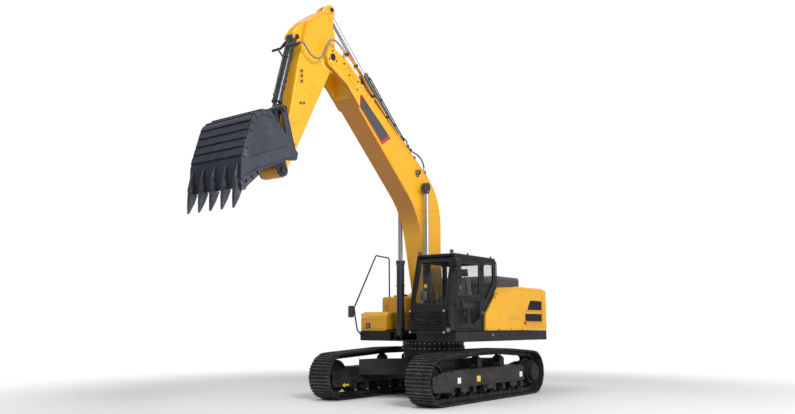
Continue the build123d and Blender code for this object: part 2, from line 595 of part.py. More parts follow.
# ---------------------------------------------------------------- cab
CAB_SIDE = [(250, CAB_BOTTOM), (1560, CAB_BOTTOM), (1610, 1800), (1590, 2150), (1345, CAB_TOP),
            (-360, CAB_TOP), (-360, 2470), (250, 1870)]
DOOR = [(304, 1545), (1395, 1545), (1395, 2150), (1300, 3000), (304, 3000)]
DOOR_THICK = 40
DOOR_UPPER_PANE = [(375, 2225), (1318, 2225), (1237, 2935), (375, 2935)]
DOOR_LOWER_PANE = [(650, 1610), (1250, 1610), (1325, 1790), (1325, 2165), (375, 2165), (375, 1770)]
REAR_SIDE_PANE = [(225, 2015), (225, 2985), (-270, 2985), (-270, 2530)]
RIGHT_PANE = [(300, 1950), (1520, 1950), (1500, 2180), (1275, 2985), (300, 2985)]
PANE_EDGE = 1


def grown(points, amount, y=0):
    """The X-Z outline moved outwards by an amount, or inwards if it is negative."""
    return offset(outline(side(y), points), amount=amount, kind=Kind.INTERSECTION)


def wall_cut(points, y_low, y_high, amount, mode=Mode.SUBTRACT):
    """Extrude the grown outline between two values of Y."""
    return extrude(grown(points, amount, y_high), amount=y_high - y_low, mode=mode)


def front_x(z):
    """X of the cab's front face at a height."""
    corners = [(1560, CAB_BOTTOM), (1610, 1800), (1590, 2150), (1345, CAB_TOP)]
    for (x1, z1), (x2, z2) in zip(corners, corners[1:]):
        if z <= z2:
            return x1 + (x2 - x1) * (z - z1) / (z2 - z1)
    return corners[-1][0]


SCREEN_Z = (2020, 2990)
LOW_SCREEN_Z = (1580, 1945)
SCREEN_Y = (CAB_RIGHT + 80, CAB_LEFT - 80)
with BuildPart() as cab:
    plate(CAB_SIDE, CAB_RIGHT, CAB_LEFT)
    fillet(cab.edges().filter_by(Axis.Y).group_by(Axis.Z)[-1], 40)
    wall_cut(CAB_SIDE, CAB_RIGHT + CAB_WALL, CAB_LEFT - CAB_WALL, -CAB_WALL)
    block((-250, 1230), (CAB_RIGHT + 70, CAB_LEFT - 70), (CAB_TOP - CAB_WALL - 1, CAB_TOP + 1),
          mode=Mode.SUBTRACT)
    wall_cut(DOOR, CAB_LEFT - CAB_WALL - 1, CAB_LEFT + 1, PANEL_GAP)
    wall_cut(REAR_SIDE_PANE, CAB_LEFT - CAB_WALL - 1, CAB_LEFT + 1, 0)
    wall_cut(REAR_SIDE_PANE, CAB_RIGHT - 1, CAB_RIGHT + CAB_WALL + 1, 0)
    wall_cut(RIGHT_PANE, CAB_RIGHT - 1, CAB_RIGHT + CAB_WALL + 1, 0)
    block((1200, 1700), SCREEN_Y, SCREEN_Z, mode=Mode.SUBTRACT)
    block((1400, 1700), SCREEN_Y, LOW_SCREEN_Z, mode=Mode.SUBTRACT)
    block((-400, -280), SCREEN_Y, (2560, 2985), mode=Mode.SUBTRACT)
    # hinge knuckles on the rear door post
    for z in (1700, 2800):
        upright((290, CAB_LEFT + 14), 12, z + 62, z + 120)
        block((270, 294), (CAB_LEFT - 6, CAB_LEFT + 14), (z + 62, z + 120))
save(cab.part, "cab_frame")

with BuildPart() as roof:
    block((-375, 1380), (CAB_RIGHT - 4, CAB_LEFT + 6), (CAB_TOP + SEAT_GAP, CAB_TOP + CAB_ROOF))
    fillet(roof.edges().filter_by(Axis.Z), 60)
    fillet(roof.faces().sort_by(Axis.Z)[-1].edges(), 38)
    for x in (-150, 1100):
        for y in (CAB_RIGHT + 140, CAB_LEFT - 140):
            upright((x, y), 9, CAB_TOP, CAB_TOP + CAB_ROOF + 1, mode=Mode.SUBTRACT)
save(roof.part, "cab_roof")

with BuildPart() as cab_floor:
    block((262 + CAB_WALL, 1500), (CAB_RIGHT + CAB_WALL + 2, CAB_LEFT - CAB_WALL - 2),
          (CAB_BOTTOM + CAB_WALL + SEAT_GAP, CAB_BOTTOM + CAB_WALL + 12))
save(cab_floor.part, "cab_floor")


def screen(z_low, z_high, corner_z, y):
    """A front pane that follows the cab's front face, set 20 mm behind it."""
    heights = [z_low + PANE_EDGE] + [z for z in corner_z if z_low < z < z_high] + [z_high - PANE_EDGE]
    outer_edge = [(front_x(z) - 20, z) for z in heights]
    inner_edge = [(front_x(z) - 20 - GLASS, z) for z in reversed(heights)]
    return plate(outer_edge + inner_edge, y[0] + PANE_EDGE, y[1] - PANE_EDGE)


with BuildPart() as glass:
    screen(*SCREEN_Z, (2150,), SCREEN_Y)
    screen(*LOW_SCREEN_Z, (1800,), SCREEN_Y)
    wall_cut(REAR_SIDE_PANE, CAB_LEFT - 30, CAB_LEFT - 30 + GLASS, -PANE_EDGE, mode=Mode.ADD)
    wall_cut(REAR_SIDE_PANE, CAB_RIGHT + 20, CAB_RIGHT + 20 + GLASS, -PANE_EDGE, mode=Mode.ADD)
    wall_cut(RIGHT_PANE, CAB_RIGHT + 20, CAB_RIGHT + 20 + GLASS, -PANE_EDGE, mode=Mode.ADD)
    block((-340, -340 + GLASS), (SCREEN_Y[0] + PANE_EDGE, SCREEN_Y[1] - PANE_EDGE), (2561, 2984))
save(glass.part, "cab_glass")

with BuildPart() as door:
    plate(DOOR, CAB_LEFT - DOOR_THICK, CAB_LEFT)
    for pane in (DOOR_UPPER_PANE, DOOR_LOWER_PANE):
        plate(pane, CAB_LEFT - DOOR_THICK - 1, CAB_LEFT + 1, radius=30, mode=Mode.SUBTRACT)
    for z in (1700, 2800):
        upright((290, CAB_LEFT + 14), 12, z, z + 58)
        block((290, 345), (CAB_LEFT + 4, CAB_LEFT + 14), (z, z + 58))
        block((306, 345), (CAB_LEFT - 2, CAB_LEFT + 5), (z, z + 58))
    # handle by the front edge
    block((1335, 1385), (CAB_LEFT - 1, CAB_LEFT + 14), (1960, 2120))
save(door.part, "cab_door")

with BuildPart() as door_glass:
    for pane in (DOOR_UPPER_PANE, DOOR_LOWER_PANE):
        sheet = offset(outline(side(CAB_LEFT - 18), pane, 30), amount=-PANE_EDGE)
        extrude(sheet, amount=GLASS)
save(door_glass.part, "cab_door_glass")

CAB_MID = (CAB_RIGHT + CAB_LEFT) / 2
FLOOR_TOP = CAB_BOTTOM + CAB_WALL + 12
with BuildPart() as seat:
    block((380, 720), (CAB_MID - 190, CAB_MID + 190), (FLOOR_TOP + SEAT_GAP, 1960))
    plate([(330, 1950), (860, 1950), (870, 2080), (330, 2060)], CAB_MID - 255, CAB_MID + 255,
          radius=[10, 40, 50, 10])
    plate([(330, 2040), (450, 2040), (300, 2700), (190, 2690)], CAB_MID - 245, CAB_MID + 245,
          radius=[5, 30, 40, 40])
    plate([(205, 2680), (285, 2690), (262, 2880), (190, 2870)], CAB_MID - 130, CAB_MID + 130,
          radius=[5, 5, 30, 30])
save(seat.part, "operator_seat")

with BuildPart() as consoles:
    for sign in (1, -1):
        y = sorted((CAB_MID + sign * 275, CAB_MID + sign * 385))
        plate([(420, 1970), (880, 1970), (960, 2130), (930, 2190), (420, 2150)], *y,
              radius=[20, 30, 20, 20, 20])
        block((560, 640), (y[0] + 25, y[1] - 25), (FLOOR_TOP + SEAT_GAP, 1975))
        upright((880, (y[0] + y[1]) / 2), 14, 2150, 2330)
        with Locations((880, (y[0] + y[1]) / 2, 2350)):
            Sphere(32)
save(consoles.part, "control_consoles")

with BuildPart() as pedals:
    for y in (CAB_MID - 60, CAB_MID + 60):
        block((1230, 1330), (y - 45, y + 45), (FLOOR_TOP + SEAT_GAP, FLOOR_TOP + 45))
        upright((1270, y), 12, FLOOR_TOP + 40, 2060)
save(pedals.part, "travel_pedals")

GUARD_X, GUARD_THICK = 1650, 14
with BuildPart() as guard:
    block((GUARD_X, GUARD_X + GUARD_THICK), (CAB_RIGHT + 5, CAB_LEFT - 90), (1440, 1925))
    with BuildSketch(front(GUARD_X - 1)) as mesh:
        with Locations(((CAB_RIGHT + 5 + CAB_LEFT - 90) / 2, (1440 + 1925) / 2)):
            with GridLocations(60, 60, 14, 7):
                Rectangle(48, 48)
    extrude(mesh.sketch, amount=GUARD_THICK + 2, mode=Mode.SUBTRACT)
    for y in (CAB_RIGHT + 50, CAB_LEFT - 135):
        for z in (1520, 1880):
            block((front_x(z) + 6, GUARD_X + 1), (y - 14, y + 14), (z - 14, z + 14))
save(guard.part, "front_guard")

# ---------------------------------------------------------------- handrail and mirrors
RAIL_Y, RAIL_R = -1400, 17
RAIL = [(-150, 2302), (-135, 3270), (400, 3295), (1215, 2010), (1180, 1840), (1095, 1500), (960, 1400),
        (RIGHT_DECK_FRONT + 1, 1400)]
with BuildPart() as rail:
    with BuildLine(side(RAIL_Y)) as rail_path:
        FilletPolyline(*RAIL, radius=60)
    with BuildSketch(Plane(rail_path.line @ 0, z_dir=rail_path.line % 0)):
        Circle(RAIL_R)
    sweep()
    upright((RAIL[0][0], RAIL_Y), 40, 2301, 2312)
save(rail.part, "handrail")

with BuildPart() as mirrors:
    block((1236, 1276), (RAIL_Y - 130, RAIL_Y + 20), (1790, 2060))
    fillet(mirrors.edges().filter_by(Axis.X), 40)
    block((1222, 1237), (RAIL_Y - 20, RAIL_Y + 12), (1915, 1955))
    block((1310, 1415), (CAB_LEFT + SEAT_GAP, CAB_LEFT + 90), (2985, 3003))
    block((1375, 1415), (CAB_LEFT + 20, CAB_LEFT + 130), (2760, 2990))
save(mirrors.part, "mirrors")

# ---------------------------------------------------------------- boom
FOOT_EYE = EAR_IN - SIDE_GAP
NOSE_IN, NOSE_EAR = 215, 72
with BuildPart() as boom:
    plate([(BOOM_FOOT[0] - 225, BOOM_FOOT[1] - 215), (BOOM_FOOT[0] + 225, BOOM_FOOT[1] - 215), (944, 4144),
           (3290, 6262), (3440, 6912), (15, 4681), (15, 3400)], -BOOM_HALF, BOOM_HALF,
          radius=[200, 200, 1800, 30, 30, 1350, 800])
    cross_pin(BOOM_FOOT, 150, -FOOT_EYE, FOOT_EYE)
    cross_pin(BOOM_FOOT, BIG_PIN + PIN_GAP, -FOOT_EYE - 1, FOOT_EYE + 1, mode=Mode.SUBTRACT)
    # fork for the arm
    for y in both_sides(NOSE_IN, NOSE_IN + NOSE_EAR):
        x, z = ARM_PIVOT
        plate([(3100, 6094), (3100, 6690), (3545, 6982), (x - 110, z + 184), (x + 110, z + 170), (x + 185, z),
               (x + 120, z - 185), (x, z - 225), (3540, 6483)], *y,
              radius=[1, 1, 150, 150, 110, 110, 110, 110, 60])
    cross_pin(ARM_PIVOT, BIG_PIN, -NOSE_IN - NOSE_EAR - 12, NOSE_IN + NOSE_EAR + 12)
    # bosses for the boom cylinders' eyes
    cross_pin(BOOM_CYL_EYE, 120, -BOOM_HALF - 20, BOOM_HALF + 20)
    # bracket for the arm cylinder
    for y in both_sides(78, 112):
        x, z = ARM_CYL_BASE
        plate([(x - 330, z - 460), (x + 280, z - 60), (x + 110, z + 10), (x + 45, z + 105),
               (x - 105, z + 50)], *y,
              radius=[1, 1, 60, 90, 80])
    cross_pin(ARM_CYL_BASE, SMALL_PIN, -124, 124)
save(boom.part, "boom")


EYE_NECK = 135           # pin to the start of a cylinder's tube
GLAND = 60               # length of the gland that the rod slides in


def barrel(foot, eye, length, radius, rod_radius, eye_radius, eye_half, y=0):
    """A barrel from its pin at foot towards eye: eye, neck, tube, collar and the bore of its rod."""
    plate([toward(foot, eye, 0, -0.8 * eye_radius), toward(foot, eye, EYE_NECK + 20, -0.8 * eye_radius),
           toward(foot, eye, EYE_NECK + 20, 0.8 * eye_radius), toward(foot, eye, 0, 0.8 * eye_radius)],
          y - eye_half, y + eye_half)
    bar(foot, eye, EYE_NECK, length, radius, y)
    bar(foot, eye, length - 90, length, radius + 14, y)
    bar(foot, eye, length - 330, length - 316, radius + 10, y)
    bar(foot, eye, EYE_NECK + 40, length - GLAND, radius - 18, y, mode=Mode.SUBTRACT)
    bar(foot, eye, length - GLAND - 1, length + 1, rod_radius + PIN_GAP, y, mode=Mode.SUBTRACT)
    cross_pin(foot, eye_radius, y - eye_half, y + eye_half)
    return cross_pin(foot, SMALL_PIN + PIN_GAP, y - eye_half - 1, y + eye_half + 1, mode=Mode.SUBTRACT)


def rod(foot, eye, rod_length, radius, rod_radius, eye_radius, eye_half, y=0):
    """A cylinder's rod from its eye back to its piston."""
    length = hypot(eye[0] - foot[0], eye[1] - foot[1])
    bar(foot, eye, length - rod_length, length - eye_radius * 0.5, rod_radius, y)
    bar(foot, eye, length - rod_length - 30, length - rod_length + 30, radius - 20, y)
    return cross_pin(eye, eye_radius, y - eye_half, y + eye_half)


BOOM_EYE_HALF = 54
with BuildPart() as boom_barrels:
    for y in (BOOM_CYL_Y, -BOOM_CYL_Y):
        barrel(BOOM_CYL_FOOT, BOOM_CYL_EYE, BOOM_BARREL, BOOM_CYL_R, BOOM_ROD_R, 92, BOOM_EYE_HALF, y)
save(boom_barrels.part, "boom_cylinder_barrels")
with BuildPart() as boom_rods:
    for y in (BOOM_CYL_Y, -BOOM_CYL_Y):
        rod(BOOM_CYL_FOOT, BOOM_CYL_EYE, 1950, BOOM_CYL_R, BOOM_ROD_R, 105, BOOM_EYE_HALF, y)
    for y in both_sides(BOOM_CYL_Y + BOOM_EYE_HALF - 1, BOOM_CYL_Y + BOOM_EYE_HALF + 16):
        cross_pin(BOOM_CYL_EYE, 62, *y)
save(boom_rods.part, "boom_cylinder_rods")

ARM_EYE_HALF = 66
with BuildPart() as arm_barrel:
    barrel(ARM_CYL_BASE, ARM_CYL_EYE, ARM_BARREL, ARM_CYL_R, ARM_ROD_R, 100, ARM_EYE_HALF)
save(arm_barrel.part, "arm_cylinder_barrel")
with BuildPart() as arm_rod:
    rod(ARM_CYL_BASE, ARM_CYL_EYE, 2142, ARM_CYL_R, ARM_ROD_R, 105, ARM_EYE_HALF)
save(arm_rod.part, "arm_cylinder_rod")

# ---------------------------------------------------------------- arm
TIP_RADIUS = 130
TIP_HALF = BUCKET_EAR_IN - SIDE_GAP
with BuildPart() as arm:
    x, z = BUCKET_PIN
    plate([(3900, 6735), (3790, 6930), (3829, 7256), (3815, 7443), (3985, 7832), (4147, 7888), (4616, 7515),
           (4744, 7013), (4866, 6601), (5094, 5366), (x + 60, z + 115), (x - 60, z - 115), (4850, 4890)],
          -ARM_HALF, ARM_HALF, radius=[80, 100, 100, 60, 60, 60, 60, 100, 300, 200, 1, 1, 60])
    cross_pin(BUCKET_PIN, TIP_RADIUS, -TIP_HALF, TIP_HALF)
    cross_pin(BUCKET_PIN, SMALL_PIN + PIN_GAP, -TIP_HALF - 1, TIP_HALF + 1, mode=Mode.SUBTRACT)
    cross_pin(ARM_PIVOT, 210, -NOSE_IN + SIDE_GAP, NOSE_IN - SIDE_GAP)
    cross_pin(ARM_PIVOT, BIG_PIN + PIN_GAP, -NOSE_IN, NOSE_IN, mode=Mode.SUBTRACT)
    # slot between the root plates for the rod's eye
    cross_pin(ARM_CYL_EYE, 420, -78, 78, mode=Mode.SUBTRACT)
    # ears for the arm cylinder's rod
    for y in both_sides(78, 118):
        x, z = ARM_CYL_EYE
        plate([(3835, 7490), (4190, 7855), (x + 62, z + 100), (x - 60, z + 88), (x - 98, z - 60)], *y,
              radius=[1, 200, 80, 60, 70])
        cross_pin(ARM_CYL_EYE, 92, *y)
    # ears for the bucket cylinder
    for y in both_sides(78, 118):
        x, z = BUCKET_CYL_TOP
        plate([(4480, 7600), (4616, 7514), (4810, 7330), (x + 100, z + 30), (x + 60, z - 95), (4720, 6980),
               (4500, 7100)],
              *y, radius=[1, 150, 250, 90, 70, 30, 1])
    cross_pin(BUCKET_CYL_TOP, SMALL_PIN, -130, 130)
    cross_pin(BUCKET_CYL_TOP, 100, -74, 74, mode=Mode.SUBTRACT)
    cross_pin(BUCKET_CYL_TOP, SMALL_PIN, -80, 80)
    # fixed pin for the rocker plates
    cross_pin(ROCKER_PIN, SMALL_PIN, -ROCKER_Y - ROCKER_THICK - 14, ROCKER_Y + ROCKER_THICK + 14)
save(arm.part, "arm")

with BuildPart() as bucket_barrel:
    barrel(BUCKET_CYL_TOP, KNUCKLE, BUCKET_BARREL, BUCKET_CYL_R, BUCKET_ROD_R, 92, ARM_EYE_HALF)
save(bucket_barrel.part, "bucket_cylinder_barrel")
with BuildPart() as bucket_rod:
    rod(BUCKET_CYL_TOP, KNUCKLE, 1400, BUCKET_CYL_R, BUCKET_ROD_R, 84, 58)
save(bucket_rod.part, "bucket_cylinder_rod")

# ---------------------------------------------------------------- bucket linkage
LINK_ARM = (66, 112)
with BuildPart() as rockers:
    length = hypot(KNUCKLE[0] - ROCKER_PIN[0], KNUCKLE[1] - ROCKER_PIN[1])
    for y in both_sides(ROCKER_Y, ROCKER_Y + ROCKER_THICK):
        plate([toward(ROCKER_PIN, KNUCKLE, 0, 78), toward(ROCKER_PIN, KNUCKLE, 0, -78),
               toward(ROCKER_PIN, KNUCKLE, length, -72), toward(ROCKER_PIN, KNUCKLE, length, 72)], *y)
        cross_pin(ROCKER_PIN, 80, *y)
        cross_pin(KNUCKLE, 74, *y)
        cross_pin(ROCKER_PIN, SMALL_PIN + PIN_GAP, y[0] - 1, y[1] + 1, mode=Mode.SUBTRACT)
    for y in both_sides(LINK_ARM[0] + 4, ROCKER_Y + ROCKER_THICK + 14):
        cross_pin(KNUCKLE, SMALL_PIN, *y)
    for y in both_sides(LINK_ARM[1] + SIDE_GAP, ROCKER_Y):
        cross_pin(KNUCKLE, 66, *y)
save(rockers.part, "rocker_links")

with BuildPart() as link:
    length = hypot(LINK_PIN[0] - KNUCKLE[0], LINK_PIN[1] - KNUCKLE[1])
    for y in both_sides(*LINK_ARM):
        plate([toward(KNUCKLE, LINK_PIN, 0, 62), toward(KNUCKLE, LINK_PIN, 0, -62),
               toward(KNUCKLE, LINK_PIN, length, -60), toward(KNUCKLE, LINK_PIN, length, 60)], *y)
        cross_pin(KNUCKLE, 76, *y)
    plate([toward(KNUCKLE, LINK_PIN, 210, 52), toward(KNUCKLE, LINK_PIN, 210, -52),
           toward(KNUCKLE, LINK_PIN, length, -52), toward(KNUCKLE, LINK_PIN, length, 52)],
          -LINK_ARM[0] - 1, LINK_ARM[0] + 1)
    cross_pin(LINK_PIN, 63, -TIP_HALF, TIP_HALF)
    cross_pin(KNUCKLE, SMALL_PIN + PIN_GAP, -LINK_ARM[1] - 1, LINK_ARM[1] + 1, mode=Mode.SUBTRACT)
save(link.part, "bucket_link")

# ---------------------------------------------------------------- bucket
SHELL = [(5262, 4647), (6019, 5329), (6377, 5089), (6592, 4342), (6578, 3845)]
SHELL_RADII = [1, 260, 250, 800, 1]
MOUTH = [(6490, 3868), (6200, 4145), (5560, 4462), (5290, 4505)]
MOUTH_RADII = [20, 150, 300, 60]
with BuildPart() as bucket:
    # back skin, from the rear edge over the crown to the lip
    plate(SHELL, -BUCKET_HALF, BUCKET_HALF, radius=SHELL_RADII)
    cavity = offset(outline(side(BUCKET_HALF + 1), SHELL, SHELL_RADII), amount=-BUCKET_SKIN)
    extrude(cavity, amount=2 * (BUCKET_HALF + 1), mode=Mode.SUBTRACT)
    plate([(SHELL[0][0] + 16, SHELL[0][1] - 2), (SHELL[0][0] + 60, SHELL[0][1] + 10), (6549, 3900),
           (SHELL[4][0] - BUCKET_SKIN, SHELL[4][1] - 1)], -BUCKET_HALF - 1, BUCKET_HALF + 1,
          mode=Mode.SUBTRACT)
    # side plates
    for y in both_sides(BUCKET_HALF - BUCKET_SIDE, BUCKET_HALF):
        plate(SHELL + MOUTH, *y, radius=[50] + SHELL_RADII[1:] + MOUTH_RADII)
    # notch between the ears, for the arm's tip and for the link's pin as it drifts from its holes
    plate([(5000, 5366), (5200, 5366), (5475, 4870), (5490, 4790), (5340, 4600), (5322, 4250), (5000, 4250)],
          -BUCKET_EAR_IN, BUCKET_EAR_IN, mode=Mode.SUBTRACT)
    # ears for the arm's tip and the bucket link
    for y in both_sides(BUCKET_EAR_IN, BUCKET_EAR_IN + BUCKET_EAR):
        plate([(BUCKET_PIN[0] - 100, BUCKET_PIN[1] + 30), (BUCKET_PIN[0] - 20, BUCKET_PIN[1] - 112),
               (5420, 4400), (5640, 4700), (5850, 5190), (5540, 5010), (LINK_PIN[0] + 20, LINK_PIN[1] + 100),
               (LINK_PIN[0] - 95, LINK_PIN[1] + 30)], *y, radius=[60, 80, 60, 1, 60, 60, 70, 60])
        cross_pin(BUCKET_PIN, 115, *y)
        cross_pin(LINK_PIN, 95, *y)
    cross_pin(BUCKET_PIN, SMALL_PIN, -BUCKET_EAR_IN - BUCKET_EAR - 12, BUCKET_EAR_IN + BUCKET_EAR + 12)
    for y in both_sides(BUCKET_EAR_IN + BUCKET_EAR - 1, BUCKET_EAR_IN + BUCKET_EAR + 12):
        cross_pin(LINK_PIN, SMALL_PIN, *y)
    # cutting edge
    plate([(6530, 4085), (6586, 4085), (6580, 3832), (6526, 3832)], -BUCKET_HALF, BUCKET_HALF)
save(bucket.part, "bucket")

TOOTH_Y = BUCKET_HALF - 70
with BuildPart() as teeth:
    for i in range(TEETH):
        y = TOOTH_Y * (2 * i / (TEETH - 1) - 1)
        plate([(6588, 3990), (6625, 3960), (6650, 3830), (6588, 3830)], y - 42, y + 42)
        loft([outline(top(3829), [(6500, y - 42), (6655, y - 42), (6655, y + 42), (6500, y + 42)]),
              outline(top(3660), [(6560, y - 34), (6660, y - 34), (6660, y + 34), (6560, y + 34)]),
              outline(top(3484), [(6640, y - 12), (6664, y - 12), (6664, y + 12), (6640, y + 12)])],
             ruled=True)
save(teeth.part, "bucket_teeth")

with BuildPart() as cutters:
    for y in both_sides(BUCKET_HALF + SEAT_GAP, BUCKET_HALF + 29):
        plate([(6140, 4150), (6200, 4215), (6560, 3990), (6580, 3790), (6500, 3790), (6460, 3860)], *y)
save(cutters.part, "side_cutters")

# ---------------------------------------------------------------- free hoses and their fittings
def bend_radii(route):
    """A radius for each corner: 0.45 of its shorter run, over the tangent of half its turn."""
    radii = []
    for before, at, after in zip(route, route[1:], route[2:]):
        first = Vector(at[0] - before[0], at[1] - before[1])
        second = Vector(after[0] - at[0], after[1] - at[1])
        half_turn = radians(first.get_angle(second)) / 2
        radii.append(0.45 * min(first.length, second.length) / tan(half_turn))
    return radii


def hose(name, route, radius, y):
    """A hose's tube along its route, in the plane Y = y."""
    radii = bend_radii(route)
    with BuildPart() as tube:
        with BuildLine(side(y)) as path:
            FilletPolyline(*route, radius=radii)
        with BuildSketch(Plane(path.line @ 0, z_dir=path.line % 0)):
            Circle(radius)
        sweep()
    length = path.wires()[0].length
    section = tube.part.volume / length / (pi * radius ** 2)
    print(name, "length", round(length), "section x length, share", round(section, 4),
          "bends", [round(r) for r in radii])
    save(tube.part, name)


def end_fitting(end, inner, radius, y):
    """A round fitting that carries on from a hose's end, away from its next point; returns its far end."""
    bar(end, inner, -FITTING, 0, radius + FITTING_WALL, y)
    return toward(end, inner, -FITTING)


for label, y in (("left", ARM_HOSE_Y), ("right", -ARM_HOSE_Y)):
    hose(f"arm_hose_{label}", ARM_HOSE, ARM_HOSE_R, y)
hose("boom_hose_upper", BOOM_HOSE_UPPER, BOOM_HOSE_R, BOOM_HOSE_Y)
hose("boom_hose_lower", BOOM_HOSE_LOWER, BOOM_HOSE_R, BOOM_HOSE_Y)

STAND_R = 24
with BuildPart() as arm_fittings:
    for sign in (1, -1):
        elbow = end_fitting(ARM_HOSE[0], ARM_HOSE[1], ARM_HOSE_R, sign * ARM_HOSE_Y)
        cross_pin(elbow, STAND_R, *sorted((sign * 130, sign * (ARM_HOSE_Y + STAND_R))))
        # bracket on the outside of the bucket cylinder's ear
        x, z = BUCKET_CYL_TOP
        plate([(x - 20, z - 20), (x + 50, z - 30), (elbow[0] + 25, elbow[1] + 10),
               (elbow[0] + 10, elbow[1] - 35),
               (x + 20, z - 110)], *sorted((sign * 119, sign * 131)))
        cross_pin(BUCKET_CYL_TOP, SMALL_PIN + SEAT_GAP, *sorted((sign * 118, sign * 132)), mode=Mode.SUBTRACT)
save(arm_fittings.part, "arm_hose_fittings")

with BuildPart() as boom_fittings:
    for route in (BOOM_HOSE_UPPER, BOOM_HOSE_LOWER):
        for end, inner in ((route[0], route[1]), (route[-1], route[-2])):
            foot = end_fitting(end, inner, BOOM_HOSE_R, BOOM_HOSE_Y)
            with Locations((foot[0], BOOM_HOSE_Y, foot[1])):
                Sphere(STAND_R + 2)
            upright((foot[0], BOOM_HOSE_Y), STAND_R, foot[1] - 260, foot[1])
    add(boom.part, mode=Mode.SUBTRACT)
save(boom_fittings.part, "boom_hose_fittings")
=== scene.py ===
"""Crawler excavator: finishes and fittings modelled around the machine's solid parts."""

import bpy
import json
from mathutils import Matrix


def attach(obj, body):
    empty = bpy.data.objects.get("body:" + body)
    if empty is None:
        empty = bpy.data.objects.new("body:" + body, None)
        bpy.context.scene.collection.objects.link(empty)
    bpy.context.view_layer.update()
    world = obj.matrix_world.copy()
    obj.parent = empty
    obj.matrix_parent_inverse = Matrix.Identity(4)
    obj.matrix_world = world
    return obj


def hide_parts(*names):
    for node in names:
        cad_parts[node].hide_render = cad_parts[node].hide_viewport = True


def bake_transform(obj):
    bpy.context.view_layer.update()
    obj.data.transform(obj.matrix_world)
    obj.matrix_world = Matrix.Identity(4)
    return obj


bl_info = {
    "name": "Crawler Excavator Finish",
    "version": (1, 0, 0),
    "blender": (4, 5, 0),
    "location": "View3D > Sidebar > Excavator",
    "description": "Adds paint, hoses, tubes, bolts, wear plates and cab trim to a crawler excavator",
    "category": "Object",
}

import json
from functools import cache
from math import radians

import bpy
import numpy as np
from bpy.props import FloatProperty, FloatVectorProperty, IntProperty, PointerProperty
from mathutils import Vector

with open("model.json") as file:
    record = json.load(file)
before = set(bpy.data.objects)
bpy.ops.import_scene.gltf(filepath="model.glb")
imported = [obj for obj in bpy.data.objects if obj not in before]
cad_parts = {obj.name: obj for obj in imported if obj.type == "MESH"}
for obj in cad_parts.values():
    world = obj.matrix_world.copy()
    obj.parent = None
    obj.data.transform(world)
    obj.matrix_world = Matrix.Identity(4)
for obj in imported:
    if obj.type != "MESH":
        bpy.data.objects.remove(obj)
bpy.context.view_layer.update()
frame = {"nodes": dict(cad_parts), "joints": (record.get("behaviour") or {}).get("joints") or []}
JOINT = {joint["name"]: joint for joint in frame["joints"]}
X, Y, Z = np.eye(3)
QUARTER_TURN = np.array([[0, 1], [-1, 0]])
PLANES = {"xz": (0, 2, 1), "yz": (2, 0, 1), "xy": (0, 1, 2)}


def pivot(joint):
    """Where a joint turns, seen from the side: its x and z."""
    x, _, z = JOINT[joint]["pos_m"]
    return x, z


def beside(points, y):
    """Points (x, z) on the plane at y."""
    return np.array([(x, y, z) for x, z in points])


def unit(vector):
    """A vector, or each row of an array, at length 1."""
    vector = np.asarray(vector, float)
    return vector / np.linalg.norm(vector, axis=-1, keepdims=True)


# ------------------------------------------------------------------ shapes
class Shape:
    """Closed surfaces gathered into one mesh. Each is turned so that its faces point outwards."""

    def __init__(self):
        self.points, self.faces, self.count = [], [], 0

    def add(self, points, faces):
        """Take in points (n, 3) and faces, a list of index arrays (m, corners)."""
        self.points.append(points)
        self.faces += [f + self.count for f in faces]
        self.count += len(points)
        return self

    def grid(self, p, ring=True, loop=False):
        """A surface over a grid p (along, around, 3). A ring closes around it, a loop closes along it,
        and the open ends of a ring get a flat cap. The sign of the enclosed volume, which is the sum of
        each face's corner triple products, tells which way the faces point."""
        m, n = p.shape[:2]
        index = np.arange(m * n).reshape(m, n)
        rows = np.concatenate([index, index[:1]]) if loop else index
        wide = np.concatenate([rows, rows[:, :1]], 1) if ring else rows
        quads = np.stack([wide[:-1, :-1], wide[:-1, 1:], wide[1:, 1:], wide[1:, :-1]], -1).reshape(-1, 4)
        faces = [quads]
        if ring and not loop:
            faces += [index[:1, ::-1], index[-1:]]
        points = p.reshape(-1, 3)
        middle = points.mean(0)
        a, b, c, d = np.moveaxis(points[quads] - middle, 1, 0)
        volume = (np.cross(a, b) * c).sum() + (np.cross(a, c) * d).sum()
        for cap in faces[1:]:
            q = points[cap[0]] - middle
            volume += (np.cross(q[:1], q[1:-1]) * q[2:]).sum()
        if volume < 0:
            faces = [f[:, ::-1] for f in faces]
        return self.add(points, faces)

    def copies(self, places, turns=None):
        """Repeat everything gathered so far at each place (k, 3), turned by each 3 x 3 matrix first."""
        places = np.atleast_2d(places)
        points = np.concatenate(self.points)
        if turns is None:
            moved = points[None] + places[:, None]
        else:
            moved = np.einsum("kij,pj->kpi", turns, points) + places[:, None]
        steps = np.arange(len(places)) * len(points)
        faces = [(f[None] + steps[:, None, None]).reshape(-1, f.shape[1]) for f in self.faces]
        self.points, self.faces, self.count = [moved.reshape(-1, 3)], faces, moved.shape[0] * len(points)
        return self

    def take(self, other):
        """Add another shape's surfaces."""
        return self.add(np.concatenate(other.points), other.faces)

    def piece(self, name, body, finish, slot=None, smooth=40):
        """Make the mesh object, give it a finish and let it ride on a body. The slot is not used."""
        mesh = bpy.data.meshes.new(name)
        faces = [corners for group in self.faces for corners in group.tolist()]
        mesh.from_pydata(np.concatenate(self.points).tolist(), [], faces)
        mesh.materials.append(finish_of(finish))
        mesh.polygons.foreach_set("use_smooth", np.ones(len(mesh.polygons), bool))
        mesh.set_sharp_from_angle(angle=radians(smooth))
        obj = bpy.data.objects.new(name, mesh)
        bpy.context.scene.collection.objects.link(obj)
        slot = slot or SLOT[finish]
        if body:
            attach(obj, body)
        return obj


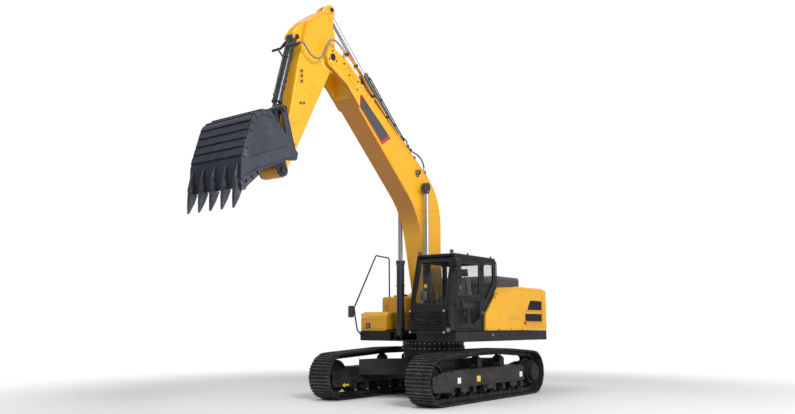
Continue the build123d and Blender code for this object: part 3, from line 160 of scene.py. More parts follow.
def across(axis):
    """Two unit vectors square to an axis and to each other."""
    axis = unit(axis)
    first = unit(np.cross(axis, Z if abs(axis[2]) < 0.9 else X))
    return first, np.cross(axis, first)


def lathe(shape, at, axis, profile, sides=20, turn=0.0, hoop=False):
    """A turned part: each (radius, height) of the profile is a circle about the axis, at that height. The
    profile of a hoop closes on itself, so that its middle is open."""
    axis = unit(axis)
    e1, e2 = across(axis)
    angle = turn + np.linspace(0, 2 * np.pi, sides, endpoint=False)
    radius, height = np.array(profile, float).T
    circle = np.cos(angle)[:, None] * e1 + np.sin(angle)[:, None] * e2
    points = np.asarray(at) + height[:, None, None] * axis + radius[:, None, None] * circle[None]
    return shape.grid(points, loop=hoop)


def drum(shape, at, axis, radius, low, high, edge=0.004, sides=28):
    """A short round bar along the axis between two heights, its rims rounded off by two small steps."""
    e = edge
    return lathe(shape, at, axis, [(radius - e, low), (radius - 0.3 * e, low + 0.3 * e), (radius, low + e),
                                   (radius, high - e), (radius - 0.3 * e, high - 0.3 * e),
                                   (radius - e, high)], sides)


def bolt(size, head=0.6, washer=True):
    """A hexagon bolt's head along +Z on its washer, for copying; size is across its corners."""
    one = Shape()
    if washer:
        lathe(one, (0, 0, -0.1 * size), Z, [(0.62 * size, 0), (0.64 * size, 0.08 * size),
                                            (0.6 * size, 0.2 * size)], 12)
    height = head * size
    return lathe(one, (0, 0, 0), Z, [(0.5 * size, -0.1 * size), (0.5 * size, 0.8 * height),
                                     (0.42 * size, height)], 6)


def facing(axis):
    """The turn that takes +Z to the axis, as a 3 x 3 matrix."""
    e1, e2 = across(axis)
    return np.stack([e1, e2, unit(axis)], 1)


def bolts(shape, places, axis, size, head=0.6, washer=True):
    """Bolt heads that stand on the places, along an axis."""
    places = np.atleast_2d(places)
    turns = np.repeat(facing(axis)[None], len(places), 0)
    return shape.take(bolt(size, head, washer).copies(places, turns))


def ring_of(centre, axis, radius, count, start=0.0):
    """Evenly spaced places on a circle about an axis."""
    e1, e2 = across(axis)
    angle = start + np.linspace(0, 2 * np.pi, count, endpoint=False)[:, None]
    return np.asarray(centre) + radius * (np.cos(angle) * e1 + np.sin(angle) * e2)


def eased(points, bend, steps=6):
    """A path with each corner replaced by a quadratic curve that starts and ends one bend away from it:
    (1 - t)^2 a + 2 t (1 - t) corner + t^2 b, worked out for all corners at once."""
    p = np.array(points, float)
    back, ahead = p[:-2] - p[1:-1], p[2:] - p[1:-1]
    room_back = np.linalg.norm(back, axis=1, keepdims=True)
    room_ahead = np.linalg.norm(ahead, axis=1, keepdims=True)
    reach = np.minimum(bend, 0.45 * np.minimum(room_back, room_ahead))
    a, b = p[1:-1] + back / room_back * reach, p[1:-1] + ahead / room_ahead * reach
    t = np.linspace(0, 1, steps)[None, :, None]
    curves = (1 - t) ** 2 * a[:, None] + 2 * t * (1 - t) * p[1:-1][:, None] + t ** 2 * b[:, None]
    return np.concatenate([p[:1], curves.reshape(-1, 3), p[-1:]])


def tube(shape, path, radius, sides=10, ref=Y, loop=False):
    """A round tube: at each point of the path a circle square to the path's direction. The circle's
    first vector is the reference made square to that direction. A radius may vary along the path."""
    p = np.asarray(path, float)
    along = unit(np.roll(p, -1, 0) - np.roll(p, 1, 0) if loop else np.gradient(p, axis=0))
    e1 = unit(ref - (along @ np.asarray(ref, float))[:, None] * along)
    e2 = np.cross(along, e1)
    angle = np.linspace(0, 2 * np.pi, sides, endpoint=False)
    circle = np.cos(angle)[None, :, None] * e1[:, None] + np.sin(angle)[None, :, None] * e2[:, None]
    size = np.broadcast_to(np.asarray(radius, float), len(p))
    return shape.grid(p[:, None] + size[:, None, None] * circle, loop=loop)


def inset(outline, amount):
    """A closed outline (n, 2) moved inwards by an amount: each corner goes along its mitre."""
    p = np.asarray(outline, float)
    ahead, back = np.roll(p, -1, 0) - p, p - np.roll(p, 1, 0)
    area = (p[:, 0] * np.roll(p, -1, 0)[:, 1] - p[:, 1] * np.roll(p, -1, 0)[:, 0]).sum()
    turn = QUARTER_TURN * (1 if area > 0 else -1)
    n1, n2 = unit(ahead) @ turn, unit(back) @ turn
    mitre = (n1 + n2) / (1 + (n1 * n2).sum(1, keepdims=True))
    return p + amount * mitre


def rounded(corners, radius, steps=4):
    """A closed outline (n, 2) with each corner replaced by a quadratic curve one radius long each side."""
    p = np.asarray(corners, float)
    closed = np.concatenate([p[-1:], p, p[:1]])
    path = eased(np.c_[closed, np.zeros(len(closed))], radius, steps)
    return path[1:-1, :2]


def rectangle(width, height, corner=0.01, steps=4):
    """A rounded rectangle's outline about the origin."""
    w, h = width / 2, height / 2
    return rounded([(-w, -h), (w, -h), (w, h), (-w, h)], corner, steps)


def sheet_metal(shape, outline, plane, level, thick, edge=0.003, at=(0, 0)):
    """A flat plate: its outline (n, 2) stands in a plane, xz, yz or xy, from one level over its
    thickness, and its rims are broken by an inset outline at both faces."""
    o = np.asarray(outline, float) + at
    e = min(edge, 0.45 * abs(thick))
    rings = np.stack([inset(o, e), o, o, inset(o, e)])
    heights = level + np.array([0, e, abs(thick) - e, abs(thick)]) * np.sign(thick)
    third = np.broadcast_to(heights[:, None, None], rings.shape[:2] + (1,))
    return shape.grid(np.concatenate([rings, third], 2)[..., PLANES[plane]])


def pad(shape, centre, size, corner=0.008, edge=0.004, normal="x"):
    """A block with rounded corners: a rounded rectangle carried along the normal axis."""
    c, s = np.asarray(centre, float), np.asarray(size, float)
    plane, first, second, level = {"x": ("yz", 1, 2, 0), "y": ("xz", 0, 2, 1), "z": ("xy", 0, 1, 2)}[normal]
    outline = rectangle(s[first], s[second], corner)
    return sheet_metal(shape, outline, plane, c[level] - s[level] / 2, s[level], edge,
                       at=(c[first], c[second]))


def cushion(shape, centre, size, crown=0.35, pull=0.06, turn=None, cells=28):
    """A stuffed pad. Over the square u, v in -1..1 its half thickness is ((1 - u^4)(1 - v^4))^0.3 times
    1 - crown + crown (1 - u^2)(1 - v^2), and its sides pull in by pull (1 - v^2) and pull (1 - u^2)."""
    s = np.sin(np.linspace(-np.pi / 2, np.pi / 2, cells))
    u, v = np.meshgrid(s, s, indexing="ij")
    bulge = np.clip(1 - u ** 4, 0, 1) * np.clip(1 - v ** 4, 0, 1)
    height = bulge ** 0.3 * (1 - crown + crown * (1 - u ** 2) * (1 - v ** 2))
    x, y = u * (1 - pull * (1 - v ** 2)), v * (1 - pull * (1 - u ** 2))
    half = np.asarray(size, float) / 2
    upper = np.stack([x * half[0], y * half[1], height * half[2]], -1)
    lower = upper * (1, 1, -1)
    index = np.arange(cells * cells).reshape(cells, cells)
    inner = np.ones((cells, cells), bool)
    inner[[0, -1]] = inner[:, [0, -1]] = False
    under = index.copy()
    under[inner] = cells * cells + np.arange(inner.sum())
    quads = [np.stack([i[:-1, :-1], i[1:, :-1], i[1:, 1:], i[:-1, 1:]], -1).reshape(-1, 4)
             for i in (index, under)]
    points = np.concatenate([upper.reshape(-1, 3), lower[inner]])
    if turn is not None:
        points = points @ np.asarray(turn).T
    return shape.add(points + centre, [quads[0], quads[1][:, ::-1]])


def tilt(degrees):
    """The turn about Y that takes +X down by an angle, as a 3 x 3 matrix."""
    a = radians(degrees)
    return np.array([[np.cos(a), 0, np.sin(a)], [0, 1, 0], [-np.sin(a), 0, np.cos(a)]])


# ------------------------------------------------------------------ shader expressions
class Graph:
    """The node tree of a material, or of the world, built from Python expressions."""

    def __init__(self, name, kind="materials"):
        self.owner = getattr(bpy.data, kind).new(name)
        self.owner.use_nodes = True
        self.tree = self.owner.node_tree
        self.tree.nodes.clear()

    def node(self, kind, settings=None, sockets=None, out=0):
        """A node of a type, with its settings, and then its sockets set or linked; gives one output."""
        new = self.tree.nodes.new(kind)
        for key, value in (settings or {}).items():
            setattr(new, key, value)
        for key, value in (sockets or {}).items():
            if isinstance(value, Wire):
                self.tree.links.new(value.socket, new.inputs[key])
            else:
                new.inputs[key].default_value = value
        return Wire(self, new.outputs[out])

    def math(self, operation, *values):
        """A sum on wires and numbers."""
        return self.node("ShaderNodeMath", {"operation": operation}, dict(enumerate(values)))

    def place(self):
        """Object coordinates."""
        return self.node("ShaderNodeTexCoord", out="Object")

    def noise(self, scale, detail=3.0, rough=0.55, at=None):
        """Cloudy values about 0.5, over the object's coordinates unless others are given."""
        sockets = {"Vector": at or self.place(), "Scale": scale, "Detail": detail, "Roughness": rough}
        return self.node("ShaderNodeTexNoise", None, sockets, "Fac")

    def ramp(self, value, low, high):
        """0 below low and 1 above high, smooth between."""
        sockets = {"Value": value, "From Min": low, "From Max": high}
        return self.node("ShaderNodeMapRange", {"interpolation_type": "SMOOTHSTEP", "clamp": True}, sockets)

    def blend(self, share, first, second):
        """A colour between two, by a share."""
        first, second = (c if isinstance(c, Wire) else (*c[:3], 1) for c in (first, second))
        factor, a, b, result = 0, 6, 7, 2
        return self.node("ShaderNodeMix", {"data_type": "RGBA"}, {factor: share, a: first, b: second}, result)

    def bump(self, height, strength, distance):
        """Normals for a surface that rises with a height."""
        return self.node("ShaderNodeBump", None, {"Height": height, "Strength": strength,
                                                  "Distance": distance})

    def surface(self, colour, rough=0.5, metal=0.0, normal=None, **plain):
        """The finish: a Principled shader. What is given in plain is constant over the surface."""
        sockets = {"Base Color": colour if isinstance(colour, Wire) else (*colour[:3], 1),
                   "Roughness": rough, "Metallic": metal}
        if normal is not None:
            sockets["Normal"] = normal
        sockets.update({key.replace("_", " "): value for key, value in plain.items()})
        return self.shown(self.node("ShaderNodeBsdfPrincipled", None, sockets))

    def shown(self, shader, kind="Material"):
        """Link a shader to the output, and give the material or world."""
        output = self.tree.nodes.new("ShaderNodeOutput" + kind)
        self.tree.links.new(shader.socket, output.inputs["Surface"])
        return self.owner


class Wire:
    """One shader socket. Sums, products and powers of wires and numbers add Math nodes."""

    def __init__(self, graph, socket):
        self.graph, self.socket = graph, socket

    def __add__(self, other):
        return self.graph.math("ADD", self, other)

    def __mul__(self, other):
        return self.graph.math("MULTIPLY", self, other)

    def __sub__(self, other):
        return self.graph.math("SUBTRACT", self, other)

    def __rsub__(self, other):
        return self.graph.math("SUBTRACT", other, self)

    def __pow__(self, other):
        return self.graph.math("POWER", self, other)

    __radd__, __rmul__ = __add__, __mul__

    def part(self, name):
        """X, Y or Z of a vector."""
        return self.graph.node("ShaderNodeSeparateXYZ", None, {"Vector": self}, name)


# ------------------------------------------------------------------ what a user may change
def tone(name, text, value):
    """A colour property, in the renderer's own linear values."""
    return FloatVectorProperty(name=name, description=text, subtype="COLOR", size=3, min=0, max=1,
                               default=value)


def metres(name, text, value):
    """A length property."""
    return FloatProperty(name=name, description=text, subtype="DISTANCE", unit="LENGTH", min=0.0001,
                         default=value)


class ExcavatorColours(bpy.types.PropertyGroup):
    """The machine's colours."""

    body: tone("Body", "Paint of the boom, arm, hood, tanks and roof", (0.86, 0.435, 0.01))
    body_shade: tone("Body shade", "The deeper tone that clouds the body paint", (0.78, 0.355, 0.008))
    frame: tone("Frame", "Paint of the frames, skirts and steps", (0.017, 0.017, 0.019))
    cab: tone("Cab", "Paint of the cab's posts and door", (0.013, 0.013, 0.015))
    tool: tone("Bucket", "Paint of the bucket and its links", (0.056, 0.06, 0.08))
    wear: tone("Wear parts", "Teeth, cutters and wear strips", (0.076, 0.08, 0.098))
    tracks: tone("Tracks", "Rolled steel of the shoes", (0.03, 0.029, 0.031))
    gear: tone("Running gear", "Cast steel of wheels, rollers and drives", (0.02, 0.019, 0.02))
    cylinder: tone("Cylinders", "Paint of the cylinder barrels", (0.03, 0.034, 0.043))
    rod: tone("Rods", "Hard chrome of the piston rods", (0.62, 0.63, 0.66))
    rubber: tone("Rubber", "Hoses, seals and mats", (0.018, 0.018, 0.019))
    guard: tone("Hose guard", "Spiral guard on the arm hoses", (0.15, 0.17, 0.19))
    seat: tone("Seat", "Fabric of the operator's seat", (0.115, 0.118, 0.125))
    belt: tone("Belt", "Webbing of the seat belt", (0.72, 0.16, 0.02))
    plastic: tone("Plastic", "Consoles, mirrors and trim", (0.035, 0.036, 0.038))
    dust: tone("Dust", "Dry dust low down on the machine", (0.34, 0.26, 0.19))
    floor: tone("Floor", "The floor of the stage", (0.8, 0.8, 0.8))


class ExcavatorSizes(bpy.types.PropertyGroup):
    """Sizes of the fittings."""

    arm_hose: metres("Arm hose", "Outside diameter of the two guarded arm hoses", 0.036)
    boom_hose: metres("Boom hose", "Outside diameter of the two boom hoses", 0.032)
    boom_pipe: metres("Boom pipe", "Outside diameter of the steel pipes on the boom", 0.04)
    shoe_bolt: metres("Shoe bolt", "Across the corners of a track shoe's bolt head", 0.036)
    body_bolt: metres("Body bolt", "Across the corners of a body panel's bolt head", 0.026)
    seam: metres("Seam", "Width of the weld seams", 0.012)
    strips: IntProperty(name="Wear strips", description="Strips across the bucket's back", min=2,
                        max=12, default=8)
    key_light: FloatProperty(name="Key light", description="Power of the large soft lamp", subtype="POWER",
                             unit="POWER", min=0, default=2600)


# ------------------------------------------------------------------ finishes
WHITE = (1, 1, 1, 1)
FADE_START, FADE_END = 6.0, 13.0


@cache
def finish_of(name):
    """A finish, made once and shared by the pieces that have it."""
    return RECIPES[name](bpy.context.scene.excavator_colours)


def shade(colour, times, plus=0.0):
    """A colour made darker or lighter: times x colour + plus."""
    return tuple(times * value + plus for value in colour)


def stretched(g, scale):
    """Object coordinates scaled by a factor along each axis."""
    return g.node("ShaderNodeMapping", None, {"Vector": g.place(), "Scale": scale})


def low_dust(g, top, share):
    """Dust that thins out with height and gathers in patches: (1 - height / top) x patchy noise x share."""
    low = 1 - g.ramp(g.place().part("Z"), 0.1, top)
    patches = g.ramp(g.noise(2.6, 6, 0.62), 0.4, 0.72)
    return low * patches * share


def paint(name, first, second, dust, rough=0.34, dirt=0.55, top=2.6, coat=0.3, peel=0.06,
          gloss=0.5, under=None):
    """Machine paint: two close tones in broad clouds, faint runs down upright faces, dust low down, painted
    shade that makes the faces turned downwards browner and darker, and orange peel as a fine bump."""
    g = Graph(name)
    clouds = g.ramp(g.noise(0.7, 4), 0.34, 0.7)
    runs = g.ramp(g.noise(1.0, 3, at=stretched(g, (9, 9, 0.8))), 0.55, 0.8)
    fine = g.noise(55, 2)
    dusty = low_dust(g, top, dirt)
    base = g.blend(clouds * 0.55 + runs * 0.3, first, second)
    # painted shade: faces that turn downwards blend to the browner, darker under colour
    if under:
        faces = g.node("ShaderNodeNewGeometry", out="Normal").part("Z")
        base = g.blend(g.ramp(0.0 - faces, 0.1, 0.62), base, under)
    colour = g.blend(dusty, base, dust)
    bump = g.bump(fine + 0.4 * g.noise(9, 2), peel, 0.004)
    return g.surface(colour, rough + 0.1 * clouds + 0.35 * dusty, 0.0, bump, Coat_Weight=coat,
                     Coat_Roughness=0.12, Specular_IOR_Level=gloss)


def cast(name, first, dust, metal=0.55, rough=0.5, dirt=0.6, top=1.2, pits=0.25, wear=0.35):
    """Bare or worn steel: pitted grain in the bump, rubbed patches that are lighter and smoother, dust."""
    g = Graph(name)
    grain = g.noise(95, 3, 0.6)
    rubbed = g.ramp(g.noise(6.5, 5, 0.65), 0.52, 0.7)
    dusty = low_dust(g, top, dirt)
    bright, dark = shade(first, 2.4, 0.03), shade(first, 0.72)
    tones = g.blend(g.ramp(g.noise(1.7, 4), 0.35, 0.7), first, dark)
    colour = g.blend(dusty, g.blend(rubbed * wear, tones, bright), dust)
    bump = g.bump(grain + 0.8 * g.noise(21, 3), pits, 0.006)
    return g.surface(colour, rough + 0.18 * grain + 0.2 * dusty - 0.12 * rubbed, metal, bump,
                     Specular_IOR_Level=0.3)


def chrome(c):
    """Hard chrome: mirror-smooth, with an oil film in long faint bands round the rod."""
    g = Graph("hard_chrome")
    bands = g.ramp(g.noise(3.0, 3, at=stretched(g, (1, 1, 9))), 0.4, 0.7)
    return g.surface(g.blend(bands * 0.5, c.rod, shade(c.rod, 0.82)), 0.12 + 0.1 * bands, 1.0)


def rubber(name, colour, rough=0.55, scale=60, grey=0.05):
    """Rubber or cloth-covered hose: a fine matt grain and grey bloom in patches."""
    g = Graph(name)
    bloom = g.ramp(g.noise(3.5, 4), 0.45, 0.75)
    faded = g.blend(bloom * 0.7, colour, shade(colour, 1, grey))
    return g.surface(faded, rough + 0.15 * bloom, 0.0, g.bump(g.noise(scale * 3, 2), 0.12, 0.002))


def plastic(name, colour, rough=0.45):
    """Moulded plastic with a leather-like grain."""
    g = Graph(name)
    cells = g.node("ShaderNodeTexVoronoi", None, {"Vector": g.place(), "Scale": 260.0}, "Distance")
    worn = g.ramp(g.noise(5, 3), 0.45, 0.75)
    tones = g.blend(worn * 0.6, colour, shade(colour, 1.35, 0.008))
    return g.surface(tones, rough + 0.12 * worn, 0.0, g.bump(cells, 0.18, 0.001))


def glass(name, tint, alpha, dusty=0.1):
    """Tinted pane: mostly clear, with a film of dust in patches."""
    g = Graph(name)
    film = g.ramp(g.noise(2.2, 5), 0.4, 0.8)
    share = alpha + dusty * film
    colour = g.blend(film * 0.5, tint, (0.42, 0.4, 0.38))
    return g.surface(colour, 0.04 + 0.12 * film, 0.0, None, Alpha=share, IOR=1.45, Coat_Weight=0.4)


def cloth(name, colour, threads=420, rough=0.9):
    """Woven fabric: two crossed sine waves make the threads, and a slow noise fades them."""
    g = Graph(name)
    place = g.place()
    u = g.math("SINE", place.part("Y") * (threads * 2))
    v = g.math("SINE", (place.part("Z") + place.part("X")) * (threads * 2))
    weave = u * v
    worn = g.ramp(g.noise(6, 4), 0.4, 0.7)
    tones = g.blend(0.25 + 0.25 * weave + 0.35 * worn, colour, shade(colour, 1.5, 0.01))
    return g.surface(tones, rough, 0.0, g.bump(weave, 0.3, 0.0015), Sheen_Weight=0.25)


def lens(name, colour, rough=0.15):
    """A lamp's or sign's glossy face with a ribbed pressing."""
    g = Graph(name)
    ribs = g.math("SINE", g.place().part("Z") * 420)
    worn = g.ramp(g.noise(8, 3), 0.4, 0.7)
    tones = g.blend(worn * 0.3, colour, shade(colour, 0.8))
    return g.surface(tones, rough + 0.1 * worn, 0.0, g.bump(ribs, 0.1, 0.001), Coat_Weight=0.5)


def plated(name, colour, rough=0.3):
    """Zinc-plated or stainless fittings: bright metal with a slight cloud and fine scratches."""
    g = Graph(name)
    clouds = g.ramp(g.noise(14, 4), 0.4, 0.7)
    scratches = g.noise(40, 2, at=stretched(g, (1, 6, 1)))
    tones = g.blend(clouds * 0.5, colour, shade(colour, 0.7))
    return g.surface(tones, rough + 0.15 * clouds, 0.9, g.bump(scratches, 0.06, 0.001))


def stage_floor(colour):
    """A matt floor that turns white, to the camera alone, with its distance from the machine."""
    g = Graph("stage_floor")
    x, y = g.place().part("X"), g.place().part("Y")
    far = g.ramp((x * x + y * y) ** 0.5, FADE_START, FADE_END)
    tones = g.blend(g.noise(3, 3) * 0.25, colour, shade(colour, 0.97))
    matt = g.node("ShaderNodeBsdfDiffuse", None, {"Color": tones})
    glow = g.node("ShaderNodeEmission", None, {"Color": WHITE, "Strength": 1.0})
    seen = g.node("ShaderNodeLightPath", out="Is Camera Ray")
    return g.shown(g.node("ShaderNodeMixShader", None, {0: far * seen, 1: matt, 2: glow}))


def tread_plate(name, first, dust):
    """Walkway steel: raised lozenges in two crossed slants, made from products of sine waves."""
    g = Graph(name)
    place = g.place()
    a = g.math("SINE", (place.part("X") + place.part("Y")) * 105)
    b = g.math("SINE", (place.part("X") - place.part("Y")) * 105)
    studs = g.ramp(a * b, 0.45, 0.8)
    dusty = g.ramp(g.noise(4, 5), 0.4, 0.7) * 0.5
    colour = g.blend(dusty, g.blend(studs * 0.5, first, shade(first, 1.9, 0.02)), dust)
    return g.surface(colour, 0.5 + 0.2 * dusty, 0.2, g.bump(studs, 0.6, 0.003))


# The exchange slot that usually goes with a finish.
SLOT = {finish: slot for slot, finishes in {
    "body_yellow": ("body", "body_deep", "yellow", "red", "maroon"),
    "frame_dark": ("frame", "black", "mesh", "cover", "grey", "orange"),
    "wear_steel": ("bolt", "wear"),
    "rod_chrome": ("zinc",),
    "hose_rubber": ("seal", "guard"),
    "pane_glass": ("lamp", "screen", "amber"),
    "tool_steel": ("tool",),
    "cylinder_dark": ("cylinder",),
    "cab_dark": ("cab",),
    "console_plastic": ("plastic", "plastic_grey"),
    "track_steel": ("tracks", "polished"),
    "running_gear": ("gear",),
    "seat_fabric": ("seat", "belt"),
}.items() for finish in finishes}

RECIPES = {
    # the body paints' under colours are painted shade for faces that turn downwards
    "body": lambda c: paint("body_paint", c.body, c.body_shade, c.dust,
                            rough=0.3, dirt=0.16, top=2.2, coat=0.3, under=(0.5, 0.19, 0.004)),
    "body_deep": lambda c: paint("body_paint_deep", shade(c.body, 0.9), shade(c.body_shade, 0.86), c.dust,
                                 rough=0.34, dirt=0.2, top=2.4, coat=0.25, under=(0.47, 0.178, 0.004)),
    "frame": lambda c: paint("frame_paint", c.frame, shade(c.frame, 0.6), c.dust,
                             rough=0.36, dirt=0.1, top=2.4, coat=0.05, gloss=0.25),
    "cover": lambda c: paint("cover_paint", shade(c.frame, 5.0), shade(c.frame, 3.4), c.dust,
                             rough=0.42, dirt=0.1, top=2.8, coat=0.15),
    "cab": lambda c: paint("cab_paint", c.cab, shade(c.cab, 0.65), c.dust,
                           rough=0.34, dirt=0.04, top=2.4, coat=0.08, gloss=0.28),
    "tool": lambda c: cast("bucket_paint", c.tool, c.dust,
                           metal=0.35, rough=0.4, dirt=0.05, top=3.0, pits=0.1, wear=0.18),
    "wear": lambda c: cast("wear_steel", c.wear, c.dust,
                           metal=0.55, rough=0.38, dirt=0.05, top=3.0, pits=0.16, wear=0.35),
    "tracks": lambda c: cast("track_steel", c.tracks, c.dust,
                             metal=0.4, rough=0.5, dirt=0.12, top=1.3, pits=0.13, wear=0.45),
    "polished": lambda c: cast("polished_grousers", shade(c.tracks, 3.4), c.dust,
                               metal=0.6, rough=0.34, dirt=0.08, top=1.3, pits=0.1, wear=0.5),
    "gear": lambda c: cast("running_gear_steel", c.gear, c.dust,
                           metal=0.25, rough=0.48, dirt=0.1, top=1.3, pits=0.09, wear=0.2),
    "cylinder": lambda c: paint("cylinder_paint", c.cylinder, shade(c.cylinder, 0.6), c.dust,
                                rough=0.28, dirt=0.1, top=1.8, coat=0.5, peel=0.03),
    "rod": chrome,
    "rubber": lambda c: rubber("hose_rubber", c.rubber),
    "guard": lambda c: rubber("hose_guard", c.guard, 0.38, 30, 0.1),
    "seal": lambda c: rubber("seal_rubber", shade(c.rubber, 0.7), 0.7, 40, 0.02),
    "seat": lambda c: cloth("seat_fabric", c.seat),
    "belt": lambda c: cloth("belt_webbing", c.belt, 700, 0.7),
    "plastic": lambda c: plastic("moulded_plastic", c.plastic),
    "plastic_grey": lambda c: plastic("moulded_plastic_grey", (0.16, 0.16, 0.165)),
    "screen": lambda c: lens("monitor_screen", (0.02, 0.035, 0.05), 0.08),
    "glass": lambda c: glass("cab_pane", (0.01, 0.016, 0.018), 0.1, 0.03),
    "lamp": lambda c: lens("lamp_lens", (0.2, 0.2, 0.2), 0.12),
    "amber": lambda c: lens("amber_lens", (0.85, 0.42, 0.02)),
    "white": lambda c: lens("white_mark", (0.8, 0.8, 0.78), 0.35),
    "yellow": lambda c: lens("yellow_mark", (0.85, 0.55, 0.03), 0.35),
    "red": lambda c: lens("red_border", (0.5, 0.035, 0.025), 0.35),
    "maroon": lambda c: lens("maroon_end", (0.22, 0.02, 0.022), 0.35),
    "grey": lambda c: lens("grey_panel", (0.06, 0.062, 0.068), 0.35),
    "black": lambda c: plastic("black_trim", (0.012, 0.012, 0.013), 0.4),
    "zinc": lambda c: plated("zinc_plate", (0.58, 0.58, 0.6)),
    "bolt": lambda c: plated("blackened_bolts", (0.09, 0.085, 0.085), 0.42),
    "orange": lambda c: paint("orange_paint", (0.62, 0.13, 0.015), (0.5, 0.1, 0.01), c.dust,
                              rough=0.4, dirt=0.1),
    "tread": lambda c: tread_plate("walkway_steel", shade(c.frame, 1.2), c.dust),
    "engine": lambda c: cast("engine_iron", (0.1, 0.1, 0.1), c.dust,
                             metal=0.5, rough=0.5, dirt=0.2, top=3.0, pits=0.3, wear=0.2),
    "mesh": lambda c: plastic("vent_mesh", (0.01, 0.01, 0.011), 0.6),
    "floor": lambda c: stage_floor(c.floor),
}

NODE_FINISH = {
    "tracks": ("left_track", "right_track"),
    "gear": ("front_idlers", "drive_sprockets", "final_drives", "bottom_rollers", "carrier_rollers"),
    "frame": ("left_track_frame", "right_track_frame", "centre_frame", "frame_legs", "slew_ring_lower",
              "slew_ring_upper", "revolving_frame", "side_skirts", "tail_skirt"),
    "body": ("counterweight", "left_front_panel", "left_middle_panel", "hood_top", "left_rear_door",
             "right_rear_door", "boom", "arm"),
    "body_deep": ("fuel_tank", "hydraulic_tank", "tool_box", "tool_box_lid"),
    "cab": ("cab_frame", "cab_door", "cab_roof", "front_guard", "handrail"),
    "tread": ("deck_plates", "cab_floor"),
    "cover": ("engine_cover",),
    "engine": ("engine_block",),
    "glass": ("cab_glass", "cab_door_glass"),
    "seat": ("operator_seat",),
    "plastic": ("control_consoles", "travel_pedals", "mirrors"),
    "cylinder": ("boom_cylinder_barrels", "arm_cylinder_barrel", "bucket_cylinder_barrel"),
    "rod": ("boom_cylinder_rods", "arm_cylinder_rod", "bucket_cylinder_rod"),
    "tool": ("rocker_links", "bucket_link", "bucket"),
    "wear": ("bucket_teeth", "side_cutters"),
    "bolt": ("arm_hose_fittings", "boom_hose_fittings"),
    "rubber": ("arm_hose_left", "arm_hose_right", "boom_hose_lower", "boom_hose_upper"),
}


class PaintNodes(bpy.types.Operator):
    """Give every solid part its finish"""

    bl_idname = "excavator.paint_nodes"
    bl_label = "Paint the solid parts"

    def execute(self, context):
        for finish, nodes in NODE_FINISH.items():
            for node in nodes:
                mesh = frame["nodes"][node].data
                if not mesh.materials:
                    mesh.materials.append(finish_of(finish))
                for index in range(len(mesh.materials)):
                    mesh.materials[index] = finish_of(finish)
        missed = set(frame["nodes"]) - {node for nodes in NODE_FINISH.values() for node in nodes}
        if missed:
            raise RuntimeError(f"parts without a finish: {sorted(missed)}")
        return {"FINISHED"}


# ------------------------------------------------------------------ the stage
FLOOR_HALF, FLOOR_Z, FLOOR_CELLS = 60, -0.002, 12
SKY_COLOUR, SKY_STRENGTH = (0.93, 0.96, 1, 1), 0.42
# name, place, width and share of the key light's power
LAMPS = (("key_lamp", (10, 15, 13), 8, 1.0),
         ("fill_lamp", (-4, 17, 7), 8, 0.26),
         ("top_lamp", (4, -4, 18), 9, 0.34))
LAMPS_AIM = (1.0, 0, 2.5)
CAMERA_SENSOR, CAMERA_LENS = 36, 33.3439698
CAMERA_AT, CAMERA_YAW, CAMERA_PITCH = (14.5396, 9.73523, 1.58021), 3.77939065, 0.160943457


class BuildStage(bpy.types.Operator):
    """Set up the floor, lamps, world and camera"""

    bl_idname = "excavator.build_stage"
    bl_label = "Build the stage"

    def lay_floor(self):
        """A flat square under the machine, facing up."""
        sheet = Shape()
        line = np.linspace(-FLOOR_HALF, FLOOR_HALF, FLOOR_CELLS + 1)
        u, v = np.meshgrid(line, line, indexing="ij")
        sheet.grid(np.stack([u, v, 0 * u + FLOOR_Z], -1), ring=False)
        sheet.faces = [f[:, ::-1] for f in sheet.faces]
        sheet.piece("stage_floor", None, "floor", "body_yellow")

    def studio(self):
        """A dim sky that the camera, and what is seen through glass, meet as plain white."""
        g = Graph("studio", "worlds")
        rays = [g.node("ShaderNodeLightPath", out=kind) for kind in ("Is Camera Ray", "Is Transmission Ray")]
        dim = g.node("ShaderNodeBackground", None, {"Color": SKY_COLOUR, "Strength": SKY_STRENGTH})
        white = g.node("ShaderNodeBackground", None, {"Color": WHITE, "Strength": 1.0})
        mixed = g.node("ShaderNodeMixShader", None, {0: g.math("MAXIMUM", *rays), 1: dim, 2: white})
        return g.shown(mixed, "World")

    def hang(self, scene, name, data, place, aim):
        """A lamp or camera at a place, turned towards its aim."""
        holder = bpy.data.objects.new(name, data)
        holder.location = place
        holder.rotation_euler = aim.to_track_quat("-Z", "Y").to_euler()
        scene.collection.objects.link(holder)
        return holder

    def execute(self, context):
        scene = context.scene
        self.lay_floor()
        scene.world = self.studio()
        power = scene.excavator_sizes.key_light
        for name, place, size, share in LAMPS:
            lamp = bpy.data.lights.new(name, "AREA")
            lamp.shape, lamp.size, lamp.energy = "DISK", size, power * share
            self.hang(scene, name, lamp, place, Vector(LAMPS_AIM) - Vector(place))
        camera = bpy.data.cameras.new("camera")
        camera.sensor_width, camera.lens = CAMERA_SENSOR, CAMERA_LENS
        ahead = Vector((np.cos(CAMERA_PITCH) * np.cos(CAMERA_YAW),
                        np.cos(CAMERA_PITCH) * np.sin(CAMERA_YAW), np.sin(CAMERA_PITCH)))
        scene.camera = self.hang(scene, "camera", camera, CAMERA_AT, ahead)
        scene.view_settings.view_transform = "Standard"
        return {"FINISHED"}


# ------------------------------------------------------------------ hoses
def route(name, points):
    """A smooth curve whose control points are the hose's route."""
    curve = bpy.data.curves.new(name, "CURVE")
    curve.dimensions = "3D"
    spline = curve.splines.new("NURBS")
    spline.points.add(len(points) - 1)
    spline.points.foreach_set("co", np.c_[points, np.ones(len(points))].ravel())
    spline.order_u = 3
    spline.use_endpoint_u = True
    spline.resolution_u = 12
    return curve


